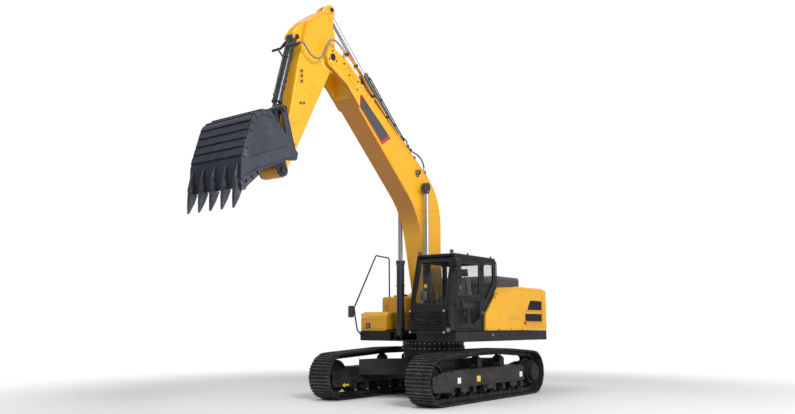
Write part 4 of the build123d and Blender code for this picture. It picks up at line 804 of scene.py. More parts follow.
def points_on(curve):
    """The points of a smooth curve, in order, read from the curve itself."""
    holder = bpy.data.objects.new("route", curve)
    mesh = bpy.data.meshes.new_from_object(holder)
    found = np.empty(len(mesh.vertices) * 3)
    mesh.vertices.foreach_get("co", found)
    bpy.data.objects.remove(holder)
    bpy.data.meshes.remove(mesh)
    return found.reshape(-1, 3)


def spaced(path, step):
    """A path's points, the same distance apart."""
    p = np.asarray(path, float)
    run = np.concatenate([[0], np.cumsum(np.linalg.norm(np.diff(p, axis=0), axis=1))])
    at = np.linspace(0, run[-1], max(3, int(run[-1] / step) + 1))
    return np.stack([np.interp(at, run, p[:, k]) for k in range(3)], 1), at


ARM_HOSE = [(4.975, 6.9), (4.925, 6.935), (4.865, 6.925), (4.805, 6.88), (4.704, 6.782), (4.569, 6.723),
            (4.444, 6.737), (4.32, 6.824), (4.23, 6.991), (4.175, 7.134), (4.11, 7.228), (4.005, 7.268),
            (3.89, 7.248), (3.785, 7.19)]
BOOM_HOSE_UPPER = [(1.547, 5.857), (1.44, 5.823), (1.34, 5.8), (1.262, 5.757), (1.214, 5.694)]
BOOM_HOSE_LOWER = [(1.065, 5.585), (0.965, 5.543), (0.832, 5.523), (0.731, 5.477), (0.649, 5.428),
                   (0.601, 5.36), (0.568, 5.291), (0.548, 5.201)]
ARM_HOSE_Y, BOOM_HOSE_Y = 0.335, 0.15
GUARD_PITCH, GUARD_STEP = 0.028, 0.0045


def collar(shape, at, axis, radius, length):
    """A crimped hose ferrule with a hexagon nut behind it, both turned about the axis."""
    grooves = [(1.28, 0.0), (1.36, 0.05), (1.36, 0.28), (1.26, 0.32), (1.36, 0.36), (1.36, 0.6), (1.2, 0.68)]
    lathe(shape, at, axis, [(radius * r, length * h) for r, h in grooves], 14)
    lathe(shape, at, axis, [(radius * 1.62, length * 0.66), (radius * 1.7, length * 0.7),
                            (radius * 1.7, length * 0.96), (radius * 1.6, length)], 6)
    return shape


def guarded_hose(side, y, unions, sizes):
    """A hose from the boom to the arm in its spiral guard, with the union that it ends in."""
    points = beside(ARM_HOSE, y)
    path = points_on(route(f"arm_hose_{side}_route", points))
    line, run = spaced(path, GUARD_STEP)
    angle = np.linspace(0, 2 * np.pi, 14, endpoint=False)
    rise = np.cross(unit(np.gradient(line, axis=0)), Y)
    # the guard's strip winds round the hose: R (0.90 + 0.10 sqrt(|sin(pi run / pitch - angle / 2)|))
    wind = np.abs(np.sin(np.pi * run[:, None] / GUARD_PITCH - angle[None] / 2)) ** 0.5
    radius = sizes.arm_hose / 2 * (0.9 + 0.1 * wind)
    rings = line[:, None] + radius[..., None] * (np.cos(angle)[None, :, None] * Y
                                                 + np.sin(angle)[None, :, None] * rise[:, None])
    hose = Shape().grid(rings).piece(f"guarded_arm_hose_{side}", None, "guard")
    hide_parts(f"arm_hose_{side}")
    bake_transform(hose)
    end = points[-1]
    away = unit(points[-1] - points[-2])
    collar(unions, end - 0.012 * away, away, sizes.arm_hose / 2, 0.075)
    bent = eased([end + 0.055 * away, end + 0.115 * away, end + (-0.14, -0.045 * np.sign(y), -0.155)], 0.05)
    tube(unions, bent, 0.016, 12)
    foot = np.array([end[0] - 0.14, 0.298 * np.sign(y), end[2] - 0.155])
    drum(unions, foot, (0, np.sign(y), 0), 0.034, -0.01, 0.024)


def boom_hose(name, xz, clamps, sizes):
    """A plain hose between two of the boom's pipes, with the ferrules at its ends."""
    points = beside(xz, BOOM_HOSE_Y)
    curve = route(name + "_rubber", points)
    length = float(np.linalg.norm(np.diff(points_on(curve), axis=0), axis=1).sum())
    curve.bevel_depth = sizes.boom_hose / 2
    curve.bevel_resolution = 4
    curve.use_fill_caps = True
    curve.materials.append(finish_of("rubber"))
    hose = bpy.data.objects.new(name + "_rubber", curve)
    bpy.context.scene.collection.objects.link(hose)
    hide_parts(name)
    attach(hose, "boom")
    for end, inner in ((points[0], points[1]), (points[-1], points[-2])):
        way = unit(end - inner)
        collar(clamps, end - 0.055 * way, way, sizes.boom_hose / 2, 0.07)


class FitHoses(bpy.types.Operator):
    """Fit the free hoses and the unions that they end in"""

    bl_idname = "excavator.fit_hoses"
    bl_label = "Fit the hoses"

    def execute(self, context):
        sizes = context.scene.excavator_sizes
        unions, clamps = Shape(), Shape()
        for side, y in (("left", ARM_HOSE_Y), ("right", -ARM_HOSE_Y)):
            guarded_hose(side, y, unions, sizes)
        unions.piece("arm_hose_unions", "boom", "zinc")
        for name, xz in (("boom_hose_upper", BOOM_HOSE_UPPER), ("boom_hose_lower", BOOM_HOSE_LOWER)):
            boom_hose(name, xz, clamps, sizes)
        clamps.piece("boom_hose_ferrules", "boom", "zinc")
        return {"FINISHED"}


# ------------------------------------------------------------------ undercarriage
WHEEL_X, WHEEL_Z = 2.02, 0.505
SHOE_FACE, LINK_HEIGHT = 0.467, 0.1
CARRIERS, CARRIER_Z, CARRIER_RADIUS = (0.27, -0.73), 0.863, 0.085
CHAIN_RAISE, SHOE_STEP = 0.004, 0.216
TRACK_Y, FRAME_FACE = 1.295, 1.5
YOKE = [(1.6, 0.255), (2.22, 0.285), (2.3, 0.38), (2.29, 0.6), (1.9, 0.672), (1.6, 0.672)]


def chain_loop():
    """The chain's line, as a closed path. It is the hull of the circles that the chain runs round: in each
    direction d the touching point is c + r d of the circle whose c.d + r is largest."""
    carry = CARRIER_RADIUS + LINK_HEIGHT + 0.008
    circles = np.array([(WHEEL_X, WHEEL_Z, SHOE_FACE), (-WHEEL_X, WHEEL_Z, SHOE_FACE),
                        (CARRIERS[0], CARRIER_Z, carry), (CARRIERS[1], CARRIER_Z, carry)])
    angle = np.linspace(0, 2 * np.pi, 7200, endpoint=False)
    d = np.stack([np.cos(angle), np.sin(angle)], 1)
    reach = d @ circles[:, :2].T + circles[:, 2]
    touch = circles[reach.argmax(1)]
    return touch[:, :2] + touch[:, 2:] * d


def shoe_places(node, y):
    """Each shoe's middle and its turn (along the chain, across, outwards). The joints' phase comes from
    the solid track, whose corners at a joint stand a little way outside the chain's line."""
    loop = chain_loop()
    closed = np.concatenate([loop, loop[:1]])
    run = np.concatenate([[0], np.cumsum(np.linalg.norm(np.diff(closed, axis=0), axis=1))])
    count = round(run[-1] / SHOE_STEP)
    step = run[-1] / count
    mesh = frame["nodes"][node].data
    corners = np.empty(len(mesh.vertices) * 3)
    mesh.vertices.foreach_get("co", corners)
    corners = np.unique(np.round(corners.reshape(-1, 3)[:, (0, 2)], 4), axis=0)
    fine = np.linspace(0, run[-1], 12000, endpoint=False)
    line = np.stack([np.interp(fine, run, closed[:, k]) for k in (0, 1)], 1)
    gap = np.linalg.norm(corners[:, None] - line[None], axis=2)
    near, away = gap.argmin(1), gap.min(1)
    joint = fine[near[np.abs(away - CHAIN_RAISE) < 0.0007]]
    phase = np.angle(np.exp(2j * np.pi * joint / step).sum()) / (2 * np.pi) * step
    at = (phase + step * np.arange(count + 1)) % run[-1]
    joints = np.stack([np.interp(at, run, closed[:, k]) for k in (0, 1)], 1)
    a, b = joints[:-1], joints[1:]
    t = unit(b - a)
    zero = np.zeros(count)
    along = np.stack([t[:, 0], zero, t[:, 1]], 1)
    out = np.stack([t[:, 1], zero, -t[:, 0]], 1)
    middle = (a + b) / 2
    turns = np.stack([along, np.cross(out, along), out], 2)
    return np.stack([middle[:, 0], zero + y, middle[:, 1]], 1), turns


class DetailTracks(bpy.types.Operator):
    """Add the shoe bolts, grouser tips, chain links and pins to both tracks"""

    bl_idname = "excavator.detail_tracks"
    bl_label = "Detail the tracks"

    def execute(self, context):
        size = context.scene.excavator_sizes.shoe_bolt
        for side, sign in (("left", 1), ("right", -1)):
            places, turns = shoe_places(f"{side}_track", sign * TRACK_Y)
            heads = Shape()
            spots = [(x, y, 0.012) for x in (-0.046, 0.046) for y in (-0.085, -0.052, 0.052, 0.085)]
            one = bolt(size, 0.5, False).copies(spots)
            heads.take(one).copies(places, turns)
            heads.piece(f"{side}_shoe_bolts", "undercarriage", "bolt")
            # polished tips, 18 mm wide, on the three grousers of each shoe
            tips = Shape()
            tip = sheet_metal(Shape(), np.array([(-0.009, 0.03), (0.009, 0.03), (0.009, 0.0385),
                                                 (-0.009, 0.0385)]), "xz", -0.299, 0.598, 0.001)
            tips.take(tip.copies([((share - 0.5) * SHOE_STEP, 0, 0) for share in (0.14, 0.5, 0.86)]))
            tips.copies(places, turns)
            tips.piece(f"{side}_grouser_tips", "undercarriage", "polished")
            links = Shape()
            u = np.linspace(-1, 1, 15)
            # a link's side has a waist: half height = 0.036 + 0.012 cos(2 pi u), u in -1..1 along it
            half = 0.036 + 0.012 * np.cos(2 * np.pi * u)
            outline = np.concatenate([np.stack([u * 0.118, half - 0.052], 1),
                                      np.stack([u[::-1] * 0.118, -half[::-1] - 0.052], 1)])
            for y in (0.101, -0.113):
                sheet_metal(links, outline, "xz", y, 0.012, 0.004)
            for y, way in ((0.113, 1), (-0.113, -1)):
                drum(links, (0.108, y, -0.052), (0, way, 0), 0.021, -0.004, 0.008, 0.003, 12)
            links.copies(places, turns)
            links.piece(f"{side}_chain_links", "undercarriage", "tracks")
        return {"FINISHED"}


def gear_side(sign, gear, nuts, frames, grease):
    """One side's drive cover, idler hub, roller caps, carrier hoops and guards."""
    out = np.array((0.0, sign, 0.0))
    drive = np.array((-WHEEL_X, sign * 1.585, WHEEL_Z))
    lathe(gear, drive - 0.02 * out, out, [(0.176, 0.0), (0.18, 0.004), (0.18, 0.016), (0.15, 0.022),
                                          (0.146, 0.026), (0.052, 0.029), (0.048, 0.034), (0.0, 0.035)], 40)
    bolts(nuts, ring_of(drive, out, 0.163, 18), out, 0.021)
    bolts(nuts, ring_of(drive + (0, -sign * 0.094, 0), out, 0.232, 24), out, 0.024)
    # twelve ribs in a ring on the drive's cover
    angle = np.linspace(0, 2 * np.pi, 12, endpoint=False)
    cos, sin, zero = np.cos(angle), np.sin(angle), 0 * angle
    ribs = Shape()
    pad(ribs, (0.098, 0, 0), (0.082, 0.012, 0.01), 0.004, 0.002, "z")
    turns = np.stack([np.stack(way, 1) for way in ((cos, zero, sin), (-sin, zero, cos),
                                                   (zero, zero + sign, zero))], 2)
    gear.take(ribs.copies(np.tile(drive + 0.009 * out, (12, 1)), turns))
    idler = np.array((WHEEL_X, sign * 1.385, WHEEL_Z))
    lathe(gear, idler, out, [(0.108, -0.012), (0.108, 0.004), (0.096, 0.01), (0.06, 0.012), (0.056, 0.02),
                             (0.0, 0.022)], 32)
    # the bottom rollers' end caps, each with two collar bolts and a grease point
    for x in np.linspace(-1.5, 1.5, 8):
        at = np.array((x, sign * 1.485, 0.234))
        lathe(gear, at, out, [(0.046, -0.006), (0.046, 0.008), (0.038, 0.014), (0.014, 0.015), (0.01, 0.02),
                              (0.0, 0.02)], 20)
        bolts(nuts, [at + (dx, 0, 0.052) for dx in (-0.043, 0.043)], out, 0.02)
        lathe(grease, at + 0.018 * out, out, [(0.007, 0), (0.008, 0.006), (0.004, 0.012)], 8)
    # hoops over the carrier rollers
    for x in CARRIERS:
        bend = np.linspace(0, np.pi, 13)
        y, width, foot = sign * 1.388, 0.075, 0.715
        height = CARRIER_Z - 0.02 + 0.062 * np.sin(bend)
        arch = np.stack([x + width * np.cos(bend), 0 * bend + y, height], 1)
        tube(frames, np.concatenate([[(x + width, y, foot)], arch, [(x - width, y, foot)]]), 0.011, 8)
        lathe(gear, (x, sign * 1.396, CARRIER_Z), out, [(0.04, -0.01), (0.04, 0.006), (0.03, 0.012),
                                                        (0.0, 0.013)], 20)
    # the idler yoke's guard: a plate with two ribs that end in points, and a bolt
    face = sign * FRAME_FACE
    sheet_metal(frames, rounded(YOKE, 0.03), "xz", face, sign * 0.014, 0.004)
    for z in (0.448, 0.588):
        rib = [(1.7, z - 0.016), (2.18, z - 0.016), (2.235, z), (2.18, z + 0.016), (1.7, z + 0.016)]
        sheet_metal(frames, rib, "xz", face + sign * 0.012, sign * 0.016, 0.006)
    bolts(nuts, [(x, face + sign * 0.014, z) for x, z in ((1.74, 0.518), (2.12, 0.518))], out, 0.034)
    # guards over the rollers, and flat plates and a rail along the beam
    for x in (-1.07, 0.0, 1.07):
        guard = [(x - 0.19, 0.335), (x + 0.19, 0.335), (x + 0.15, 0.235), (x - 0.15, 0.235)]
        sheet_metal(frames, rounded(guard, 0.02), "xz", sign * 1.487, sign * 0.016, 0.004)
        bolts(nuts, [(x + dx, sign * 1.503, 0.305) for dx in (-0.13, 0.13)], out, 0.026)
    for x in (-1.35, -1.1, -0.25, -0.02, 0.75, 1.0):
        plate = rectangle(0.15, 0.085, 0.02)
        sheet_metal(frames, plate, "xz", face, sign * 0.008, 0.003, at=(x, 0.655))
    beam = [(-1.62, 0.372), (1.62, 0.372), (1.62, 0.402), (-1.62, 0.402)]
    sheet_metal(frames, beam, "xz", sign * 1.498, sign * 0.012, 0.004)


class DetailRunningGear(bpy.types.Operator):
    """Add drive covers, hubs, roller caps, guards, marks and the swing ring's seal and bolts"""

    bl_idname = "excavator.detail_running_gear"
    bl_label = "Detail the running gear"

    def execute(self, context):
        gear, nuts, frames, marks, grease = Shape(), Shape(), Shape(), Shape(), Shape()
        for sign in (1, -1):
            gear_side(sign, gear, nuts, frames, grease)
        # plain marks on the left frame, and an arrow on the right frame's inner face
        for x, w, name in ((1.29, 0.13, "white"), (0.5, 0.15, "yellow"), (-1.45, 0.13, "white")):
            square = Shape()
            sheet_metal(square, rectangle(w, 0.12, 0.008), "xz", FRAME_FACE + 0.001, 0.003, 0.001,
                        at=(x, 0.48))
            square.piece(f"frame_mark_{name}_{'front' if x > 0 else 'rear'}", "undercarriage", name,
                         "frame_dark")
        dark = Shape()
        sheet_metal(dark, rectangle(0.055, 0.12, 0.006), "xz", FRAME_FACE + 0.001, 0.003, 0.001,
                    at=(0.64, 0.48))
        dark.piece("frame_mark_slot", "undercarriage", "black")
        arrow = [(1.74, 0.33), (1.74, 0.29), (1.88, 0.29), (1.88, 0.262), (1.98, 0.31), (1.88, 0.358),
                 (1.88, 0.33)]
        sheet_metal(marks, arrow, "xz", -1.086, 0.003, 0.001)
        sheet_metal(frames, rounded(YOKE, 0.03), "xz", -1.092, 0.006, 0.002)
        marks.piece("travel_arrow", "undercarriage", "yellow")
        gear.piece("hubs_and_caps", "undercarriage", "gear")
        nuts.piece("running_gear_bolts", "undercarriage", "bolt")
        frames.piece("track_guards", "undercarriage", "frame")
        grease.piece("grease_points", "undercarriage", "orange")
        rim = Shape()
        for z, wide, tall in ((1.118, 0.733, 0.012), (1.058, 0.731, 0.01)):
            profile = [(0.727, -0.004), (wide, 0.0), (wide, tall), (0.727, tall + 0.004)]
            lathe(rim, (0, 0, z), Z, profile, 72)
        rim.piece("swing_seal", "undercarriage", "seal")
        angle = np.linspace(0, 2 * np.pi, 40, endpoint=False)
        outward = np.stack([np.cos(angle), np.sin(angle), 0 * angle], 1)
        turns = np.stack([np.cross(Z, outward), np.tile(Z, (40, 1)), outward], 2)
        for name, body, radius, z in (("swing_ring_bolts", "undercarriage", 0.724, 1.088),
                                      ("swing_ring_upper_bolts", "upperstructure", 0.709, 1.205)):
            ring = bolt(0.024, 0.6, True).copies(radius * outward + (0, 0, z), turns)
            ring.piece(name, body, "zinc", "wear_steel")
        return {"FINISHED"}


# ------------------------------------------------------------------ upper body
# the body's sides, and where the trims and bolts on them start
BODY_SIDE, TRIM_Y, BOLT_Y = 1.49, 1.488, 1.492
BEAD_STEP, BEAD_RIPPLE = 0.008, 0.018
TAIL_RADIUS = 3.35


def frame_strip(shape, outline, plane, level, thick, width, edge=0.003):
    """A flat frame: the band between an outline and the same outline moved inwards by a width. Its section
    is a rectangle with broken corners, carried round the outline as a closed ring."""
    o = np.asarray(outline, float)
    e = edge * np.sign(thick)
    rings = [(inset(o, 0), level), (inset(o, 0), level + thick - e), (inset(o, edge), level + thick),
             (inset(o, width - edge), level + thick), (inset(o, width), level + thick - e),
             (inset(o, width), level)]
    p = np.stack([np.concatenate([r, np.full((len(r), 1), z)], 1) for r, z in rings], 1)
    return shape.grid(p[..., PLANES[plane]], loop=True)


def bead(shape, path, size, ref=Y):
    """A weld seam: a low round run whose radius is size / 2 (1 + 0.12 sin(2 pi run / ripple length))."""
    line, run = spaced(eased(path, 0.03) if len(path) > 2 else np.array(path, float), BEAD_STEP)
    ripple = size / 2 * (1 + 0.12 * np.sin(run * 2 * np.pi / BEAD_RIPPLE))
    return tube(shape, line, ripple, 6, ref)


def rear_door(sign, side):
    """A rear side door's frame, vents with their bars and mesh, seams and latch."""
    door = Shape()
    face = sign * BODY_SIDE
    panel = rounded([(-2.69, 1.56), (-1.676, 1.56), (-1.676, 2.48), (-2.69, 2.48)], 0.04)
    frame_strip(door, panel, "xz", face - sign * 0.002, sign * 0.009, 0.03)
    upper = rounded([(-2.7, 1.965), (-1.835, 1.965), (-2.035, 2.225), (-2.7, 2.225)], 0.03)
    lower = rounded([(-2.7, 1.69), (-1.745, 1.69), (-1.745, 1.905), (-2.7, 1.905)], 0.03)
    fill = Shape()
    for vent in (upper, lower):
        frame_strip(door, vent, "xz", face - sign * 0.002, sign * 0.014, 0.018, 0.005)
        sheet_metal(fill, inset(vent, 0.012), "xz", face + sign * 0.001, sign * 0.004, 0.001)
    fill.piece(f"{side}_door_vent_fill", f"{side}_rear_door", "mesh")
    for z, low, high in ((1.953, -2.7, -1.82), (1.678, -2.7, -1.74)):
        pad(door, ((low + high) / 2, face + sign * 0.01, z), (high - low, 0.022, 0.016), 0.004, 0.004, "x")
    bead(door, [(-2.66, face + sign * 0.002, 1.618), (-1.7, face + sign * 0.002, 1.618)], 0.014)
    bead(door, [(-2.66, face + sign * 0.002, 1.592), (-1.7, face + sign * 0.002, 1.592)], 0.01)
    door.piece(f"{side}_door_pressings", f"{side}_rear_door", "body")
    mesh = Shape()
    for low, high, a, b in ((1.985, 2.205, -1.86, -2.035), (1.71, 1.885, -1.765, -1.765)):
        for share in np.linspace(0.05, 0.95, 9):
            z, front = low + share * (high - low), a + share * (b - a)
            pad(mesh, ((-2.69 + front) / 2, face + sign * 0.008, z), (front + 2.69, 0.006, 0.005),
                0.002, 0.001, "x")
        x = np.linspace(-2.685, min(a, b) - 0.01, 48)
        bars = Shape()
        pad(bars, (0, 0, 0), (0.005, 0.006, high - low - 0.01), 0.002, 0.001, "z")
        bars.copies(np.stack([x, 0 * x + face + sign * 0.006, 0 * x + (low + high) / 2], 1))
        mesh.take(bars)
    mesh.piece(f"{side}_door_mesh", f"{side}_rear_door", "mesh")
    latch = Shape()
    slanted = rounded([(-1.815, 1.625), (-1.735, 1.625), (-1.71, 1.7), (-1.79, 1.7)], 0.012)
    sheet_metal(latch, slanted, "xz", face, sign * 0.012, 0.004)
    pad(latch, (-1.763, face + sign * 0.014, 1.663), (0.05, 0.01, 0.022), 0.004, 0.003, "y")
    latch.piece(f"{side}_door_latch", f"{side}_rear_door", "black", "console_plastic")


def engine_cover():
    """The engine cover's rows of vent boxes, its light corner post, hinge straps and edge."""
    cover, post = Shape(), Shape()
    for x in np.linspace(-2.5, -1.56, 6):
        frame_strip(cover, rectangle(0.13, 0.17, 0.015) + (x, 2.655), "xz", 0.898, 0.014, 0.016)
        for z in np.linspace(2.6, 2.71, 5):
            pad(cover, (x, 0.906, z), (0.1, 0.014, 0.01), 0.003, 0.002, "x")
    for y in np.linspace(-0.86, 0.76, 9):
        frame_strip(cover, rectangle(0.14, 0.17, 0.015) + (y, 2.655), "yz", -1.332, 0.014, 0.016)
        for z in np.linspace(2.6, 2.71, 5):
            pad(cover, (-1.324, y, z), (0.014, 0.11, 0.01), 0.003, 0.002, "y")
    tube(post, [(-1.352, 0.878, 2.53), (-1.352, 0.878, 2.745)], 0.016, 10, X)
    for x in (-2.35, -1.7):
        pad(cover, (x, 0.903, 2.548), (0.07, 0.01, 0.036), 0.004, 0.003, "y")
    tube(cover, [(-2.6, 0.86, 2.8), (-1.42, 0.86, 2.8)], 0.012, 8)
    cover.piece("engine_cover_vents", "engine_cover", "cover")
    post.piece("engine_cover_post", "engine_cover", "plastic_grey", "frame_dark")


class DetailBody(bpy.types.Operator):
    """Add the door frames, vents, latches, seams, skirts' bolts and engine cover's vents to the body"""

    bl_idname = "excavator.detail_body"
    bl_label = "Detail the body"

    def execute(self, context):
        size = context.scene.excavator_sizes.body_bolt
        for sign, side in ((1, "left"), (-1, "right")):
            rear_door(sign, side)
        trim, heads, dots = Shape(), Shape(), Shape()
        # the two fixed panels on the left: raised frames, bolts, a plug and a blank plate
        slant = rounded([(-0.425, 1.53), (0.105, 1.53), (0.082, 1.845), (-0.372, 2.275), (-0.425, 2.275)],
                        0.025)
        frame_strip(trim, slant, "xz", TRIM_Y, 0.007, 0.016)
        middle = rounded([(-1.612, 1.53), (-0.475, 1.53), (-0.475, 2.315), (-1.03, 2.33), (-1.29, 2.48),
                          (-1.612, 2.48)], 0.03)
        frame_strip(trim, middle, "xz", TRIM_Y, 0.007, 0.018)
        bolts(heads, [(-0.4, BOLT_Y, 2.315), (-0.3, BOLT_Y, 2.235)], Y, size)
        bolts(heads, [(x, BOLT_Y, 1.512) for x in (-0.42, 0.1, -1.6, -0.48, -1.05)], Y, 0.8 * size)
        lathe(dots, (-0.22, 1.489, 2.1), Y, [(0.016, 0), (0.018, 0.003), (0.014, 0.007), (0.0, 0.008)], 16)
        trim.piece("left_panel_pressings", "upperstructure", "body")
        plate = Shape()
        sheet_metal(plate, rectangle(0.55, 0.111, 0.012) + (-1.225, 1.79), "xz", 1.489, 0.004, 0.002)
        plate.piece("blank_side_plate", "upperstructure", "body_deep")
        # rounded top edges of the hood along both sides
        rail = Shape()
        for sign in (1, -1):
            y = sign * 1.47
            tube(rail, [(-2.725, y, 2.5), (-1.288, y, 2.5), (-1.03, y, 2.348), (-0.44, y, 2.338)], 0.022, 10)
        rail.piece("hood_edge_rails", "upperstructure", "body")
        # counterweight: two seams round it, and the plugs of its fastening bolts
        tail = Shape()
        angle = np.linspace(-0.458, 0.458, 61) + np.pi
        radius = TAIL_RADIUS + 0.0005
        for z in (1.56, 2.44):
            ring = np.stack([radius * np.cos(angle), radius * np.sin(angle), 0 * angle + z], 1)
            wide = np.concatenate([[(-2.752, 1.4905, z)], ring[::-1], [(-2.752, -1.4905, z)]])
            tube(tail, wide, 0.006, 6, Z)
        tail.piece("counterweight_seams", "upperstructure", "body_deep")
        plugs = Shape()
        for y in (-0.75, -0.25, 0.25, 0.75):
            at = np.array((-np.sqrt(TAIL_RADIUS ** 2 - y * y), y, 1.85))
            way = at * (1, 1, 0) / TAIL_RADIUS
            lathe(plugs, at - 0.004 * way, way, [(0.044, 0), (0.046, 0.004), (0.046, 0.01), (0.036, 0.014),
                                                 (0.03, 0.01), (0.0, 0.009)], 20)
        plugs.piece("counterweight_plugs", "upperstructure", "body_deep")
        # skirts: two step lines, bolts and one bright plug
        skirt = Shape()
        for sign in (1, -1):
            front = 1.372 if sign > 0 else 0.86
            for z, r in ((1.462, 0.01), (1.284, 0.008)):
                tube(skirt, [(-2.735, sign * BODY_SIDE, z), (front, sign * BODY_SIDE, z)], r, 8)
            xs = np.array([1.22, 0.78, 0.34, -0.55, -0.98, -1.42, -1.86, -2.3, -2.62])
            xs = xs[xs < front - 0.05]
            bolts(heads, np.stack([xs, 0 * xs + sign * BOLT_Y, 0 * xs + 1.375], 1), (0, sign, 0), 0.9 * size)
        skirt.piece("skirt_steps", "upperstructure", "frame")
        lathe(dots, (-0.18, 1.491, 1.395), Y, [(0.022, 0), (0.024, 0.003), (0.02, 0.006), (0.0, 0.007)], 18)
        heads.piece("body_bolts", "upperstructure", "bolt")
        dots.piece("bright_plugs", "upperstructure", "zinc")
        engine_cover()
        return {"FINISHED"}


class DetailRightSide(bpy.types.Operator):
    """Add the caps, seams, lamp, lock and frames to the tanks, tool box and front deck"""

    bl_idname = "excavator.detail_right_side"
    bl_label = "Detail the tanks and tool box"

    def execute(self, context):
        size = context.scene.excavator_sizes.body_bolt
        yellow, dark, heads, bright = Shape(), Shape(), Shape(), Shape()
        # tool box: raised frame, keyhole, square lamp in its guard, handle, bolts and lid rim
        face_x = 0.866
        frame_strip(yellow, rectangle(0.68, 0.235, 0.03) + (-1.11, 1.65), "yz", 0.863, 0.008, 0.014)
        lathe(bright, (0.865, -1.11, 1.76), X, [(0.018, 0), (0.02, 0.003), (0.016, 0.008), (0.006, 0.008),
                                                (0.004, 0.004), (0.0, 0.004)], 18)
        frame_strip(dark, rectangle(0.11, 0.11, 0.015) + (-1.245, 1.61), "yz", face_x, 0.03, 0.012)
        pane = Shape()
        sheet_metal(pane, rectangle(0.094, 0.094, 0.01) + (-1.245, 1.61), "yz", 0.868, 0.018, 0.004)
        pane.piece("deck_lamp_lens", "upperstructure", "lamp")
        pad(bright, (0.876, -1.165, 1.6), (0.02, 0.026, 0.09), 0.006, 0.003, "x")
        bolts(heads, [(face_x, y, 1.545) for y in (-1.4, -1.3)], X, 0.8 * size)
        rim = Shape()
        side = rounded([(0.1, 1.818), (0.84, 1.818), (0.845, 1.85), (0.78, 1.898), (0.1, 1.915)], 0.02)
        frame_strip(rim, side, "xz", -TRIM_Y, -0.007, 0.014)
        rim.piece("tool_box_lid_rim", "tool_box_lid", "frame")
        # fuel tank: filler cap, weld seams, sight tube and drain plug, then the hydraulic tank's frame
        lathe(dark, (-0.45, -1.15, 2.333), Z, [(0.074, -0.012), (0.078, 0.0), (0.078, 0.026), (0.07, 0.034),
                                               (0.03, 0.036), (0.026, 0.044), (0.0, 0.045)], 28)
        for z in (1.6, 2.18):
            bead(yellow, [(-1.0, -1.4915, z), (0.0, -1.4915, z)], 0.012)
        for x in (-0.86, -0.12):
            bead(yellow, [(x, -1.4915, 1.52), (x, -1.4915, 2.24)], 0.012, X)
        tube(bright, [(0.062, -1.34, 1.62), (0.074, -1.34, 1.64), (0.074, -1.34, 2.1),
                      (0.062, -1.34, 2.12)], 0.009, 8)
        lathe(bright, (0.056, -1.22, 1.585), X, [(0.022, 0), (0.022, 0.01), (0.014, 0.014), (0.0, 0.016)], 6)
        for x in (-1.58, -1.09):
            bolts(heads, [(x, -BOLT_Y, z) for z in (1.55, 2.24)], (0, -1, 0), size)
        frame_strip(yellow, rectangle(0.53, 0.7, 0.03) + (-1.33, 1.895), "xz", -TRIM_Y, -0.008, 0.018)
        # three slots in the step at the front of the right deck
        for y in (-1.3, -1.12, -0.94):
            frame_strip(dark, rectangle(0.12, 0.04, 0.018) + (y, 1.375), "yz", 0.868, 0.008, 0.008)
        yellow.piece("tank_pressings", "upperstructure", "body_deep")
        dark.piece("tank_fittings", "upperstructure", "black")
        heads.piece("tank_bolts", "upperstructure", "bolt")
        bright.piece("tank_bright_fittings", "upperstructure", "zinc")
        return {"FINISHED"}


# ------------------------------------------------------------------ cab
def band(shape, corners, plane, level, thick, width, inner=0.05, outer=0.004, lean=None):
    """A frame whose outer outline keeps the corners and whose inner outline, a width inside it, is well
    rounded: a four-sided ring carried round both outlines together. The lean function adds to the level
    from the outline's second coordinate, for a pane that isn't upright."""
    first, last = rounded(corners, outer, 5), rounded(inset(np.asarray(corners, float), width), inner, 5)
    rings = [(first, level), (first, level + thick), (last, level + thick), (last, level)]
    if lean is None:
        heights = [np.full((len(r), 1), z) for r, z in rings]
    else:
        heights = [z + lean(r[:, 1:]) for r, z in rings]
    p = np.stack([np.concatenate([r, h], 1) for (r, z), h in zip(rings, heights)], 1)
    return shape.grid(p[..., PLANES[plane]], loop=True)


def cab_front(z):
    """X of the cab's front face at a height."""
    return np.interp(z, [1.495, 1.8, 2.15, 3.06], [1.56, 1.61, 1.59, 1.345])


def strap(shape, path, width, thick, across_way):
    """Flat webbing: a thin rectangle carried along the path, its width along one fixed direction."""
    line = np.asarray(path, float)
    wide = np.asarray(across_way, float)
    up = np.cross(unit(np.gradient(line, axis=0)), wide)
    corners = [(-0.5, -0.5), (0.5, -0.5), (0.5, 0.5), (-0.5, 0.5)]
    rings = [line + a * width * wide + b * thick * up for a, b in corners]
    return shape.grid(np.stack(rings, 1))


